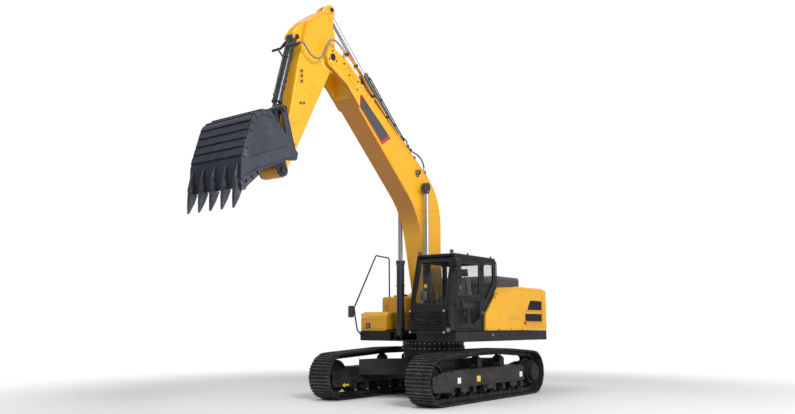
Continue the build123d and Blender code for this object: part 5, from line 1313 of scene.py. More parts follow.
def cab_door():
    """The cab door's window seals, raised frame, pull bars and latch."""
    door, rubber_ring = Shape(), Shape()
    upper = [(0.371, 2.221), (1.322, 2.221), (1.241, 2.939), (0.371, 2.939)]
    lower = [(0.646, 1.606), (1.253, 1.606), (1.329, 1.788), (1.329, 2.169), (0.371, 2.169), (0.371, 1.768)]
    band(rubber_ring, upper, "xz", 1.489, 0.006, 0.03, 0.08)
    band(rubber_ring, lower, "xz", 1.489, 0.006, 0.026, 0.05)
    rubber_ring.piece("door_window_seals", "cab_door", "seal")
    outline = np.array([(0.304, 1.545), (1.395, 1.545), (1.395, 2.15), (1.3, 3.0), (0.304, 3.0)])
    frame_strip(door, inset(outline, 0.008), "xz", 1.488, 0.007, 0.018)
    tube(door, eased([(0.345, 1.497, 1.8), (0.38, 1.497, 1.77), (0.64, 1.497, 1.59)], 0.02), 0.009, 8)
    tube(door, eased([(0.36, 1.482, 2.195), (0.38, 1.512, 2.195), (1.3, 1.512, 2.195),
                      (1.322, 1.482, 2.195)], 0.02), 0.011, 10, Z)
    tube(door, eased([(1.348, 1.486, 1.93), (1.3, 1.518, 1.9), (1.215, 1.518, 1.64), (1.2, 1.486, 1.585)],
                     0.06), 0.012, 10, X)
    door.piece("cab_door_trim", "cab_door", "cab")
    latch = Shape()
    pad(latch, (1.36, 1.508, 2.04), (0.03, 0.02, 0.11), 0.01, 0.006, "y")
    latch.piece("cab_door_latch", "cab_door", "black", "console_plastic")


def cab_controls():
    """The monitor, the levers with their boots, the pedals' levers and a round marker lamp on the screen."""
    grey = Shape()
    pad(grey, (1.33, 0.64, 2.24), (0.045, 0.15, 0.21), 0.02, 0.008, "x")
    face = Shape()
    sheet_metal(face, rectangle(0.125, 0.175, 0.01) + (0.64, 2.24), "yz", 1.306, -0.003, 0.001)
    face.piece("monitor_screen", "upperstructure", "screen")
    tube(grey, eased([(1.345, 0.64, 2.15), (1.39, 0.64, 2.06), (1.42, 0.64, 1.98)], 0.03), 0.014, 8)
    for y in (0.676, 1.306):
        boot = [(0.05, 0.0), (0.038, 0.018), (0.044, 0.026), (0.03, 0.044), (0.036, 0.052), (0.016, 0.075)]
        lathe(grey, (0.88, y, 2.2), Z, boot, 20)
        grip = eased([(0.88, y, 2.265), (0.885, y, 2.33), (0.902, y, 2.4), (0.894, y, 2.455)], 0.03)
        last = len(grip) - 1
        radius = np.interp(np.arange(last + 1), [0, 5, 9, last], [0.012, 0.022, 0.026, 0.016])
        tube(grey, grip, radius, 14)
    for y in (0.93, 1.05):
        tube(grey, eased([(1.26, y, 2.02), (1.22, y, 2.1), (1.235, y, 2.23)], 0.04), 0.011, 8)
        lathe(grey, (1.236, y, 2.225), Z, [(0.016, 0), (0.024, 0.02), (0.02, 0.042), (0.0, 0.048)], 14)
    grey.piece("cab_controls", "upperstructure", "plastic_grey")
    disc = Shape()
    lathe(disc, (1.478, 0.8, 2.43), X, [(0.044, 0), (0.046, 0.004), (0.04, 0.01), (0.0, 0.012)], 24)
    disc.piece("screen_marker_lamp", "upperstructure", "amber")


def cab_roof(dark, lenses):
    """The roof's two front lamps, two knobs, hatch frame and ribs."""
    for x, y in ((1.3, 1.36), (1.315, 0.54)):
        lathe(dark, (x, y, 3.115), Z, [(0.02, -0.02), (0.018, 0.035), (0.03, 0.04), (0.03, 0.05)], 14)
        lathe(dark, (x - 0.045, y, 3.165), X, [(0.016, 0), (0.034, 0.02), (0.042, 0.04), (0.042, 0.066),
                                               (0.036, 0.068), (0.036, 0.062), (0.001, 0.061)], 24)
        lathe(lenses, (x + 0.017, y, 3.165), X, [(0.035, 0), (0.033, 0.005), (0.016, 0.008),
                                                 (0.001, 0.009)], 24)
    for x in (0.78, -0.22):
        lathe(dark, (x, 1.44, 3.118), Z, [(0.024, -0.01), (0.022, 0.01), (0.014, 0.016), (0.018, 0.034),
                                          (0.012, 0.044), (0.0, 0.046)], 16)
    hatch = [(-0.1, 0.68), (1.05, 0.68), (1.05, 1.3), (-0.1, 1.3)]
    band(dark, hatch, "xy", 3.117, 0.012, 0.045, 0.05)
    for y in np.linspace(0.6, 1.38, 5):
        pad(dark, (0.475, y, 3.121), (1.45, 0.03, 0.006), 0.002, 0.002, "x")


class DetailCab(bpy.types.Operator):
    """Add window seals, lamps, wiper, roof ribs, grab bars, monitor, controls and door trim to the cab"""

    bl_idname = "excavator.detail_cab"
    bl_label = "Detail the cab"

    def execute(self, context):
        dark, seals, lenses, bright = Shape(), Shape(), Shape(), Shape()
        band(seals, [(0.568, 2.016), (1.414, 2.016), (1.414, 2.994), (0.568, 2.994)], "yz", -0.01, 0.012,
             0.05, 0.09, lean=cab_front)
        band(seals, [(0.568, 1.576), (1.414, 1.576), (1.414, 1.949), (0.568, 1.949)], "yz", -0.01, 0.012,
             0.035, 0.05, lean=cab_front)
        for sign, level in ((1, 1.488), (-1, 0.494)):
            corners = [(0.229, 2.013), (0.229, 2.989), (-0.274, 2.989), (-0.274, 2.528)]
            band(seals, corners, "xz", level, sign * 0.008, 0.04, 0.08)
        band(seals, [(0.296, 1.946), (1.524, 1.946), (1.504, 2.181), (1.279, 2.989), (0.296, 2.989)], "xz",
             0.494, -0.008, 0.04, 0.08)
        seals.piece("window_seals", "upperstructure", "seal")
        # drip rail, door pillar lines and the step of the cab's foot
        tube(dark, eased([(1.36, 1.5, 3.045), (-0.34, 1.5, 3.045), (-0.372, 1.5, 3.0), (-0.372, 1.5, 2.5)],
                         0.05), 0.011, 8)
        tube(dark, eased([(-0.366, 1.497, 2.475), (0.244, 1.497, 1.875), (0.25, 1.497, 1.52)], 0.05),
             0.012, 8)
        tube(dark, [(0.26, 1.494, 1.51), (1.55, 1.494, 1.51)], 0.01, 8)
        for y in (0.52, 1.462):
            tube(dark, [(cab_front(z) + 0.004, y, z) for z in np.linspace(1.52, 3.03, 12)], 0.012, 8)
        # wiper along the right post: its arm stands 0.020 + 0.014 sin(pi share) off the glass, over its blade
        low, high = 2.03, 2.86
        z = np.linspace(low, high, 14)
        bow = 0.02 + 0.014 * np.sin(np.pi * (z - low) / (high - low))
        tube(dark, np.stack([cab_front(z) + bow, 0.6 + 0.05 * (z - low), z], 1), 0.0075, 8)
        z = np.linspace(2.3, 2.94, 14)
        pad(dark, (cab_front(2.05) + 0.016, 0.6, 2.035), (0.036, 0.06, 0.05), 0.01, 0.006, "x")
        tube(dark, np.stack([cab_front(z) + 0.01, 0.64 + 0 * z, z], 1), 0.0065, 6)
        cab_roof(dark, lenses)
        # corner lamp low at the front, and the guard's bright corner bolts
        lathe(dark, (1.575, 1.455, 1.515), X, [(0.03, -0.03), (0.058, 0.0), (0.066, 0.03), (0.066, 0.06),
                                               (0.056, 0.062), (0.056, 0.052), (0.0, 0.05)], 28)
        lathe(lenses, (1.62, 1.455, 1.515), X, [(0.052, 0), (0.048, 0.01), (0.0, 0.014)], 28)
        for y in (0.52, 1.377):
            for z in (1.463, 1.902):
                lathe(bright, (1.662, y, z), X,
                      [(0.024, 0), (0.026, 0.004), (0.022, 0.012), (0.0, 0.015)], 16)
        frame_strip(dark, rounded([(0.5, 1.443), (1.397, 1.443), (1.397, 1.922), (0.5, 1.922)], 0.03), "yz",
                    1.66, 0.008, 0.022)
        # latch striker, and grab handles on the front post
        pad(bright, (0.272, 1.496, 1.88), (0.026, 0.016, 0.06), 0.006, 0.003, "y")
        tube(dark, eased([(1.47, 1.49, 2.02), (1.48, 1.535, 2.03), (1.44, 1.535, 2.52), (1.43, 1.49, 2.53)],
                         0.035), 0.011, 10, X)
        # camera housing on its arm at the top of the front post, and a second knob for the mirror
        tube(dark, eased([(1.385, 1.47, 3.04), (1.44, 1.535, 3.05), (1.47, 1.56, 3.0)], 0.03), 0.014, 10, X)
        pad(dark, (1.475, 1.57, 2.905), (0.12, 0.15, 0.19), 0.045, 0.02, "x")
        pad(dark, (1.5, 1.575, 2.76), (0.06, 0.09, 0.07), 0.025, 0.012, "x")
        dark.piece("cab_trim", "upperstructure", "cab")
        cab_controls()
        lenses.piece("cab_lamp_lenses", "upperstructure", "lamp")
        bright.piece("cab_bright_fittings", "upperstructure", "zinc")
        cab_door()
        return {"FINISHED"}


class FitSeat(bpy.types.Operator):
    """Replace the plain seat with its cushions, frame, head rest and belt"""

    bl_idname = "excavator.fit_seat"
    bl_label = "Fit the seat"

    def execute(self, context):
        pads, base, belt = Shape(), Shape(), Shape()
        mid = 0.991
        cushion(pads, (0.61, mid, 2.01), (0.5, 0.3, 0.12), 0.22, 0.03, tilt(-3))
        for y in (mid - 0.2, mid + 0.2):
            cushion(pads, (0.61, y, 2.018), (0.5, 0.105, 0.125), 0.25, 0.02, tilt(-3))
        back = tilt(-78)
        cushion(pads, (0.312, mid, 2.36), (0.6, 0.29, 0.12), 0.25, 0.03, back)
        for y in (mid - 0.19, mid + 0.19):
            cushion(pads, (0.322, y, 2.35), (0.56, 0.1, 0.125), 0.25, 0.02, back)
        cushion(pads, (0.24, mid, 2.78), (0.17, 0.24, 0.085), 0.3, 0.04, tilt(-80))
        seat = pads.piece("seat_cushions", "upperstructure", "seat", smooth=80)
        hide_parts("operator_seat")
        for x in (0.43, 0.67):
            pad(base, (x, mid, 1.74), (0.07, 0.3, 0.32), 0.02, 0.006, "z")
        u = np.linspace(0, 1, 40)
        # the suspension's bellows: half depth = 0.15 + 0.012 |cos(8 pi u)|
        swell = 0.012 * np.abs(np.cos(8 * np.pi * u))
        outline = rectangle(2.0, 2.0, 0.25, 5)
        rings = np.concatenate([outline[None] * (0.15 + swell[:, None, None]) * (1.0, 1.18),
                                np.broadcast_to((1.6 + 0.3 * u)[:, None, None], (40, len(outline), 1))], 2)
        base.grid(rings + (0.55, mid, 0))
        pad(base, (0.55, mid, 1.585), (0.4, 0.38, 0.04), 0.03, 0.006, "z")
        pad(base, (0.59, mid, 1.935), (0.46, 0.42, 0.04), 0.03, 0.008, "z")
        for y in (mid - 0.235, mid + 0.235):
            tube(base, eased([(0.4, y, 2.16), (0.42, y, 2.19), (0.66, y, 2.19), (0.7, y, 2.16)],
                             0.03), 0.018, 10)
        for y in (mid - 0.05, mid + 0.05):
            tube(base, [(0.255, y, 2.62), (0.24, y, 2.74)], 0.008, 8)
        base.piece("seat_base", "upperstructure", "plastic")
        # the lap belt bows forwards by 0.05 (1 - t^2) and rises by 0.075 (1 - |t|^5), t in -1..1 across it
        t = np.linspace(-1, 1, 24)
        lap = np.stack([0.47 + 0.05 * (1 - t ** 2), mid + 0.25 * t, 2.015 + 0.075 * (1 - np.abs(t) ** 5)], 1)
        strap(belt, lap, 0.046, 0.004, (0.82, 0, 0.57))
        tail = eased([(0.46, mid + 0.262, 2.03), (0.56, mid + 0.268, 1.98), (0.63, mid + 0.268, 1.84)], 0.05)
        strap(belt, tail, 0.046, 0.004, (0.57, 0, 0.82))
        belt.piece("seat_belt", "upperstructure", "belt")
        return {"FINISHED"}


# ------------------------------------------------------------------ boom, arm and cylinders
BOOM_PIVOT, ARM_PIVOT, BUCKET_PIN = pivot("boom_lift"), pivot("arm_curl"), pivot("bucket_curl")
BOOM_CYL_FOOT, BOOM_CYL_EYE, BOOM_CYL_Y = pivot("boom_barrel_tilt"), (0.8, 4.735), 0.368
ARM_CYL_BASE, ARM_CYL_EYE = pivot("arm_barrel_tilt"), (3.85, 8.012)
BUCKET_CYL_TOP, KNUCKLE = pivot("bucket_barrel_tilt"), pivot("link_swing")
ROCKER_PIN, LINK_PIN = pivot("rocker_swing"), (5.39, 4.864)
BOTH, MIDDLE = (BOOM_CYL_Y, -BOOM_CYL_Y), (0.0,)
# node, foot, eye, barrel's length and radius, rod's radius, places in y, its tube's direction and distance
BARRELS = (("boom_cylinder_barrels", BOOM_CYL_FOOT, BOOM_CYL_EYE, 1.68, 0.09, 0.052, BOTH, X, 0.03),
           ("arm_cylinder_barrel", ARM_CYL_BASE, ARM_CYL_EYE, 2.01, 0.098, 0.058, MIDDLE, (0, 1, 0.35),
            0.032),
           ("bucket_cylinder_barrel", BUCKET_CYL_TOP, KNUCKLE, 1.44, 0.084, 0.05, MIDDLE, X, 0.03))
# node, foot, eye, the eye's radius and half width, rod's radius, places in y
RODS = (("boom_cylinder_rods", BOOM_CYL_FOOT, BOOM_CYL_EYE, 0.105, 0.054, 0.052, BOTH),
        ("arm_cylinder_rod", ARM_CYL_BASE, ARM_CYL_EYE, 0.105, 0.066, 0.058, MIDDLE),
        ("bucket_cylinder_rod", BUCKET_CYL_TOP, KNUCKLE, 0.084, 0.058, 0.05, MIDDLE))
# distances from the machine's middle to the flat sides
BOOM_SIDE, NOSE_SIDE, ARM_SIDE, BUCKET_SIDE = 0.2405, 0.285, 0.2, 0.644


def boom_top(x):
    """Height of the boom's top face, away from its ends."""
    return 4.681 + 0.6514 * (x - 0.015)


def at_pin(pin, y):
    """A pin's middle line, given by its x and z, where it meets the plane at y."""
    return np.array((pin[0], y, pin[1]))


def pin_cap(shape, pin, y, way, radius, deep=0.016):
    """A pin's end: a chamfered collar, a recessed face and a hexagon in its middle."""
    centre = at_pin(pin, y)
    lathe(shape, centre, (0, way, 0), [(radius, -0.004), (radius, deep * 0.7), (0.92 * radius, deep),
                                       (0.7 * radius, deep), (0.66 * radius, 0.5 * deep),
                                       (0.0, 0.5 * deep)], 26)
    lathe(shape, centre, (0, way, 0), [(0.3 * radius, 0.4 * deep), (0.3 * radius, 0.95 * deep),
                                       (0.24 * radius, 1.1 * deep)], 6)
    return shape


def boom_panels():
    """A blank panel on each side of the boom: grey field, dark red end and red lower border."""
    corners = np.array([(3.0, 6.4), (3.205, 6.255), (2.29, 5.46), (1.98, 5.665)])
    a, b, c, d = corners
    along, up = b - c, d - c
    start, stop = c + along * 0.07, c + along * 0.8
    for side in (1, -1):
        field, border, end = Shape(), Shape(), Shape()
        y = side * 0.24
        sheet_metal(field, rounded(corners, 0.02), "xz", y, side * 0.003, 0.001)
        strip = np.array([c, stop, stop + (a - b) * 0.09, start + up * 0.12, start + up * 0.95, d])
        sheet_metal(border, strip, "xz", y + side * 0.002, side * 0.003, 0.001)
        cap = np.array([a, b, b + (c - b) * 0.1, a + (d - a) * 0.16])
        sheet_metal(end, cap, "xz", y + side * 0.002, side * 0.003, 0.001)
        name = "left" if side > 0 else "right"
        field.piece(f"boom_panel_{name}", "boom", "grey")
        border.piece(f"boom_panel_border_{name}", "boom", "red")
        end.piece(f"boom_panel_end_{name}", "boom", "maroon")


def boom_pipes(pipe, paint_work, heads, dark):
    """The three steel pipes along the boom, with their clamps, feet and bolts."""
    low = [(1.06, 5.4), (0.536, 5.04), (0.37, 4.88), (0.29, 4.56), (0.245, 4.43)]
    high = [(2.7, 6.604), (2.546, 6.49), (2.083, 6.127), (1.525, 5.712)]
    for y, side in ((0.205, 1), (-0.205, -1)):
        bend = [(3.7, 0.335 * side, 7.143), (3.48, 0.335 * side, 7.022), (3.12, 0.325 * side, 6.83),
                (2.88, 0.215 * side, 6.735)]
        path = np.concatenate([bend, beside(high, y), beside(low, y)])
        tube(paint_work, eased(path, 0.09), pipe, 12)
    tube(paint_work, eased(beside([(2.86, 6.7)] + high + low, 0.15), 0.09), pipe, 12)
    lathe(dark, (2.846, 0.15, 6.69), (0.76, 0, 0.65), [(0.026, 0), (0.034, 0.004), (0.034, 0.06),
                                                       (0.026, 0.066)], 6)
    for x, z in ((2.546, 6.49), (2.083, 6.127), (1.06, 5.4), (0.64, 5.112)):
        foot = boom_top(x)
        for y in (0.178, -0.205):
            wide = 0.13 if y > 0 else 0.07
            pad(dark, (x, y, z), (0.06, wide, 0.062), 0.01, 0.005, "y")
            pad(paint_work, (x, y, (z + foot) / 2 - 0.02), (0.04, 0.06, z - foot + 0.02), 0.006, 0.004, "z")
            bolts(heads, [(x, y, z + 0.03)], Z, 0.024)
    for y in (0.335, -0.335):
        side = np.sign(y)
        for x, z in ((3.6, 7.088), (3.3, 6.926)):
            pad(dark, (x, y, z), (0.055, 0.066, 0.066), 0.01, 0.005, "x")
            pad(paint_work, (x, 0.306 * side, z - 0.02), (0.045, 0.05, 0.08), 0.006, 0.004, "x")
            bolts(heads, [(x, 0.368 * side, z)], side * Y, 0.024)


def boom_side(side, seam, paint_work, heads, dark):
    """One side's weld seams, the nose's doubler with its slotted rib and bolts, plugs and pin caps."""
    y = side * BOOM_SIDE
    bead(paint_work, beside([(1.13, 5.385), (1.5, 4.67)], y), seam)
    bead(paint_work, beside([(1.68, 5.7), (2.05, 5.16)], y), seam)
    bead(paint_work, beside([(0.055, 4.3), (0.94, 4.18)], y), seam)
    nose = rounded([(3.14, 6.4), (3.5, 6.52), (3.72, 6.8), (3.66, 6.95), (3.54, 6.92), (3.14, 6.64)], 0.06)
    frame_strip(paint_work, nose, "xz", side * NOSE_SIDE, side * 0.008, 0.02)
    slot = rounded([(3.26, 6.5), (3.44, 6.59), (3.6, 6.8), (3.55, 6.86), (3.42, 6.78), (3.24, 6.6)], 0.05)
    frame_strip(paint_work, slot, "xz", side * NOSE_SIDE, side * 0.012, 0.014)
    spots = [(3.2, 6.45), (3.18, 6.62), (3.45, 6.69), (3.63, 6.88)]
    bolts(heads, beside(spots, side * 0.288), side * Y, 0.034)
    drum(paint_work, at_pin(ARM_PIVOT, side * 0.287), side * Y, 0.165, -0.002, 0.01, 0.004, 40)
    pin_cap(dark, ARM_PIVOT, side * 0.299, side, 0.072)
    bolts(heads, ring_of(at_pin(ARM_PIVOT, side * 0.297), side * Y, 0.125, 3, 0.6), side * Y, 0.032)
    lathe(paint_work, (1.172, side * 0.24, 5.33), side * Y, [(0.034, -0.002), (0.034, 0.01), (0.026, 0.014),
                                                             (0.0, 0.014)], 20)
    drum(paint_work, at_pin(BOOM_CYL_EYE, side * 0.258), side * Y, 0.15, -0.02, 0.004, 0.005, 40)
    drum(paint_work, at_pin(BOOM_PIVOT, side * BOOM_SIDE), side * Y, 0.215, -0.002, 0.014, 0.005, 40)
    pin_cap(dark, BOOM_PIVOT, side * 0.316, side, 0.07)
    pin_cap(dark, ARM_CYL_BASE, side * 0.124, side, 0.052)


class DetailBoom(bpy.types.Operator):
    """Add the pipes, clamps, blank panel, weld seams, lamp and pin caps to the boom"""

    bl_idname = "excavator.detail_boom"
    bl_label = "Detail the boom"

    def execute(self, context):
        sizes = context.scene.excavator_sizes
        pipe, seam = sizes.boom_pipe / 2, sizes.seam
        paint_work, heads, dark = Shape(), Shape(), Shape()
        boom_pipes(pipe, paint_work, heads, dark)
        for side in (1, -1):
            boom_side(side, seam, paint_work, heads, dark)
        edge = inset(np.array([(-0.02, 1.8), (0.34, 1.8), (0.944, 4.144), (3.29, 6.262), (3.4, 6.85),
                               (0.015, 4.681), (0.015, 3.4)]), 0.03)
        for line, radii in ((edge[[4, 5, 6, 0]], [1.32, 0.77]), (edge[[3, 2, 1]], [1.83])):
            for side in (1, -1):
                tube(paint_work, beside(filleted(line, radii), side * 0.24), 0.006, 6)
        paint_work.piece("boom_pipes_and_seams", "boom", "body")
        heads.piece("boom_bolts", "boom", "bolt")
        # round work lamp on the left, on a bent bracket with its lead
        lathe(dark, (0.955, 0.292, 5.06), X, [(0.024, 0), (0.052, 0.016), (0.062, 0.05), (0.062, 0.078),
                                              (0.052, 0.08), (0.052, 0.072), (0.0, 0.07)], 26)
        tube(dark, eased([(0.99, 0.292, 5.0), (0.98, 0.292, 4.975), (0.96, 0.245, 4.975)], 0.02), 0.01, 8, X)
        tube(dark, eased([(0.96, 0.292, 5.06), (0.9, 0.29, 5.1), (0.86, 0.25, 5.13), (0.84, 0.243, 5.16)],
                         0.03), 0.006, 8, X)
        dark.piece("boom_fittings", "boom", "black")
        lamp = Shape()
        lathe(lamp, (1.026, 0.292, 5.06), X, [(0.052, 0), (0.046, 0.008), (0.0, 0.012)], 26)
        lamp.piece("boom_lamp_lens", "boom", "lamp")
        boom_panels()
        return {"FINISHED"}


class DetailArm(bpy.types.Operator):
    """Add the edge flanges, bosses, clamps, blank plate and pin caps to the arm"""

    bl_idname = "excavator.detail_arm"
    bl_label = "Detail the arm"

    def execute(self, context):
        seam = context.scene.excavator_sizes.seam
        work, heads, dark = Shape(), Shape(), Shape()
        outline = np.array([(3.9, 6.735), (3.79, 6.93), (3.829, 7.256), (3.815, 7.443), (3.985, 7.832),
                            (4.147, 7.888), (4.616, 7.515), (4.744, 7.013), (4.866, 6.601), (5.094, 5.366),
                            (5.26, 4.52), (5.19, 4.39), (4.85, 4.89)])
        edge = beside(rounded(inset(outline, 0.04), 0.09, 5), 0)
        front = [(4.56, 7.48), (4.68, 7.01), (4.8, 6.59), (5.03, 5.35), (5.12, 4.9)]
        back = [(3.96, 7.7), (4.02, 7.82), (4.14, 7.835), (4.54, 7.5)]
        for side in (1, -1):
            y = side * ARM_SIDE
            tube(work, edge + (0, y, 0), 0.006, 6, loop=True)
            tube(work, eased(beside(front, y + side * 0.002), 0.1), 0.01, 8)
            tube(work, eased(beside(back, y + side * 0.002), 0.06), 0.01, 8)
            bead(work, beside([(4.52, 5.56), (5.04, 5.3)], y), seam)
            drum(work, at_pin(ARM_PIVOT, y), side * Y, 0.3, -0.002, 0.006, 0.003, 48)
            lathe(work, (4.251, y, 7.276), side * Y, [(0.026, -0.002), (0.026, 0.01), (0.018, 0.014),
                                                      (0.0, 0.012)], 16)
            for x, z in ((4.78, 6.42), (4.778, 6.325), (4.775, 6.218)):
                pad(work, (x, y + side * 0.014, z), (0.06, 0.03, 0.052), 0.01, 0.006, "y")
                pad(dark, (x - 0.006, y + side * 0.031, z), (0.028, 0.012, 0.06), 0.006, 0.003, "y")
                bolts(heads, [(x + 0.02, y + side * 0.029, z)], side * Y, 0.022)
            for x, z in ((4.785, 5.783), (4.7, 5.799)):
                lathe(work, (x, y, z), side * Y, [(0.034, -0.002), (0.034, 0.01), (0.028, 0.016),
                                                  (0.001, 0.016)], 18)
                bolts(heads, [(x, y + side * 0.016, z)], side * Y, 0.036)
            plate = rectangle(0.15, 0.2, 0.012) @ np.array([[0.975, 0.222], [-0.222, 0.975]]) + (4.478, 6.118)
            frame_strip(work, plate, "xz", y, side * 0.006, 0.012)
            # ears of the two cylinders: bosses and pin caps
            drum(work, at_pin(BUCKET_CYL_TOP, side * 0.118), side * Y, 0.086, -0.002, 0.008, 0.003, 30)
            pin_cap(dark, BUCKET_CYL_TOP, side * 0.13, side, 0.05)
            drum(work, at_pin(ARM_CYL_EYE, side * 0.118), side * Y, 0.088, -0.002, 0.01, 0.003, 30)
            pin_cap(dark, ARM_CYL_EYE, side * 0.127, side, 0.05)
            pin_cap(dark, ROCKER_PIN, side * 0.254, side, 0.06)
            drum(work, at_pin(ROCKER_PIN, side * ARM_SIDE), side * Y, 0.075, -0.002, 0.005, 0.002, 28)
        work.piece("arm_flanges_and_seams", "arm", "body")
        heads.piece("arm_bolts", "arm", "bolt")
        dark.piece("arm_pin_caps", "arm", "bolt")
        return {"FINISHED"}


def dress_barrel(work, heads, foot, eye, length, radius, rod, y, out, tube_out):
    """A barrel's fittings: a gland flange with bolts on its end, two port blocks, and a steel tube with two
    bands that runs along it. The out direction, square to the barrel, carries the tube."""
    a, b = at_pin(foot, y), at_pin(eye, y)
    u = unit(b - a)
    out = unit(out - (out @ u) * u)
    lathe(work, a + (length - 0.03) * u, u, [(radius + 0.014, 0), (radius + 0.022, 0.004),
                                             (radius + 0.022, 0.026), (radius + 0.016, 0.031),
                                             (0.6 * radius + 0.02, 0.034), (rod + 0.004, 0.032),
                                             (rod + 0.004, 0.0)], 32, hoop=True)
    bolts(heads, ring_of(a + (length + 0.002) * u, u, radius + 0.001, 10), u, 0.022, 0.45)
    for h, deep in ((length - 0.12, 0.03), (0.23, 0.026)):
        centre = a + h * u + (radius + 0.004) * out
        lathe(work, centre, out, [(0.036, -0.013), (0.036, 0.012), (0.028, 0.018), (0.028, deep)], 8)
    start, stop = a + (length - 0.12) * u, a + 0.23 * u
    lift = radius + tube_out
    path = [start + (radius + 0.02) * out, start + lift * out, start + lift * out - 0.06 * u,
            stop + lift * out + 0.06 * u, stop + lift * out, stop + (radius + 0.02) * out]
    tube(work, eased(path, 0.03), 0.013, 10, np.cross(u, out))
    for share in (0.32, 0.66):
        at = a + length * share * u
        lathe(work, at, u, [(radius - 0.006, -0.022), (radius + 0.009, -0.018), (radius + 0.009, 0.018),
                            (radius - 0.006, 0.022)], 32, hoop=True)
        block = at + (radius + 0.5 * tube_out + 0.004) * out
        lathe(work, block - 0.024 * u, u, [(0.016, 0), (0.026, 0.006), (0.026, 0.042), (0.016, 0.048)], 8)


def dress_rod(work, foot, eye, eye_radius, eye_half, rod_radius, y):
    """A rod's eye: a painted drum over the eye, and a neck that narrows to the rod."""
    a, b = at_pin(foot, y), at_pin(eye, y)
    u = unit(a - b)
    drum(work, b, Y, eye_radius + 0.002, -eye_half - 0.001, eye_half + 0.001, 0.006, 36)
    lathe(work, b, u, [(rod_radius + 0.02, eye_radius - 0.03), (rod_radius + 0.022, eye_radius + 0.03),
                       (rod_radius + 0.01, eye_radius + 0.052), (rod_radius + 0.001, eye_radius + 0.056)],
          28)


class DetailCylinders(bpy.types.Operator):
    """Add the glands, ports, steel tubes and painted eyes to the hydraulic cylinders"""

    bl_idname = "excavator.detail_cylinders"
    bl_label = "Detail the cylinders"

    def execute(self, context):
        for name, foot, eye, length, radius, rod, ys, out, gap in BARRELS:
            work, heads = Shape(), Shape()
            for y in ys:
                dress_barrel(work, heads, foot, eye, length, radius, rod, y, out, gap)
            work.piece(name + "_fittings", name, "cylinder")
            heads.piece(name + "_bolts", name, "bolt")
        for name, foot, eye, eye_radius, half, rod_radius, ys in RODS:
            work = Shape()
            for y in ys:
                dress_rod(work, foot, eye, eye_radius, half, rod_radius, y)
            if name == "boom_cylinder_rods":
                for side in (1, -1):
                    drum(work, at_pin(eye, side * 0.438), side * Y, 0.066, -0.017, 0.004, 0.004, 28)
                    bolts(work, ring_of(at_pin(eye, side * 0.442), side * Y, 0.04, 3), side * Y, 0.024)
            work.piece(name + "_eyes", name, "cylinder")
        return {"FINISHED"}


# ------------------------------------------------------------------ bucket
BUCKET_SHELL = [(5.262, 4.647), (6.019, 5.329), (6.377, 5.089), (6.592, 4.342), (6.578, 3.845)]
SHELL_BENDS = [0.26, 0.25, 0.8]


def filleted(points, radii, steps=14):
    """A path with true arcs at its inner corners. An arc touches both runs at radius / tan(half the corner's
    angle) from the corner, and its centre lies on the bisector."""
    p = np.asarray(points, float)
    pieces = [p[:1]]
    for corner, radius in enumerate(radii, 1):
        back, ahead = p[corner - 1] - p[corner], p[corner + 1] - p[corner]
        back, ahead = unit(back), unit(ahead)
        half = np.arccos(np.clip(back @ ahead, -1, 1)) / 2
        start, stop = p[corner] + back * radius / np.tan(half), p[corner] + ahead * radius / np.tan(half)
        way = unit(back + ahead)
        centre = p[corner] + way * radius / np.sin(half)
        a0 = np.arctan2(*(start - centre)[::-1])
        a1 = np.arctan2(*(stop - centre)[::-1])
        sweep = (a1 - a0 + np.pi) % (2 * np.pi) - np.pi
        angle = a0 + sweep * np.linspace(0, 1, steps)
        pieces.append(centre + radius * np.stack([np.cos(angle), np.sin(angle)], 1))
    return np.concatenate(pieces + [p[-1:]])


def shell_band(start, stop, inner, outer, count=10):
    """The outline between two lengths along the bucket's back, from one height off its skin to another, and
    the back's whole length. A pair of outer heights makes the outline thicken from its first end on."""
    line = filleted(BUCKET_SHELL, SHELL_BENDS)
    run = np.concatenate([[0], np.cumsum(np.linalg.norm(np.diff(line, axis=0), axis=1))])
    normal = unit(np.gradient(line, run, axis=0) @ QUARTER_TURN)
    at = np.linspace(start, stop, count)
    base, out = (np.stack([np.interp(at, run, q[:, k]) for k in (0, 1)], 1) for q in (line, normal))
    rise = np.linspace(*np.broadcast_to(outer, 2), count)[:, None]
    return np.concatenate([base + inner * out, (base + rise * out)[::-1]]), run[-1]


def shell_line(start, stop, off, y, count=24):
    """Points between two lengths along the bucket's back, at one height off its skin, on the plane at y."""
    outline, _ = shell_band(start, stop, off, off, count)
    return beside(outline[:count], y)


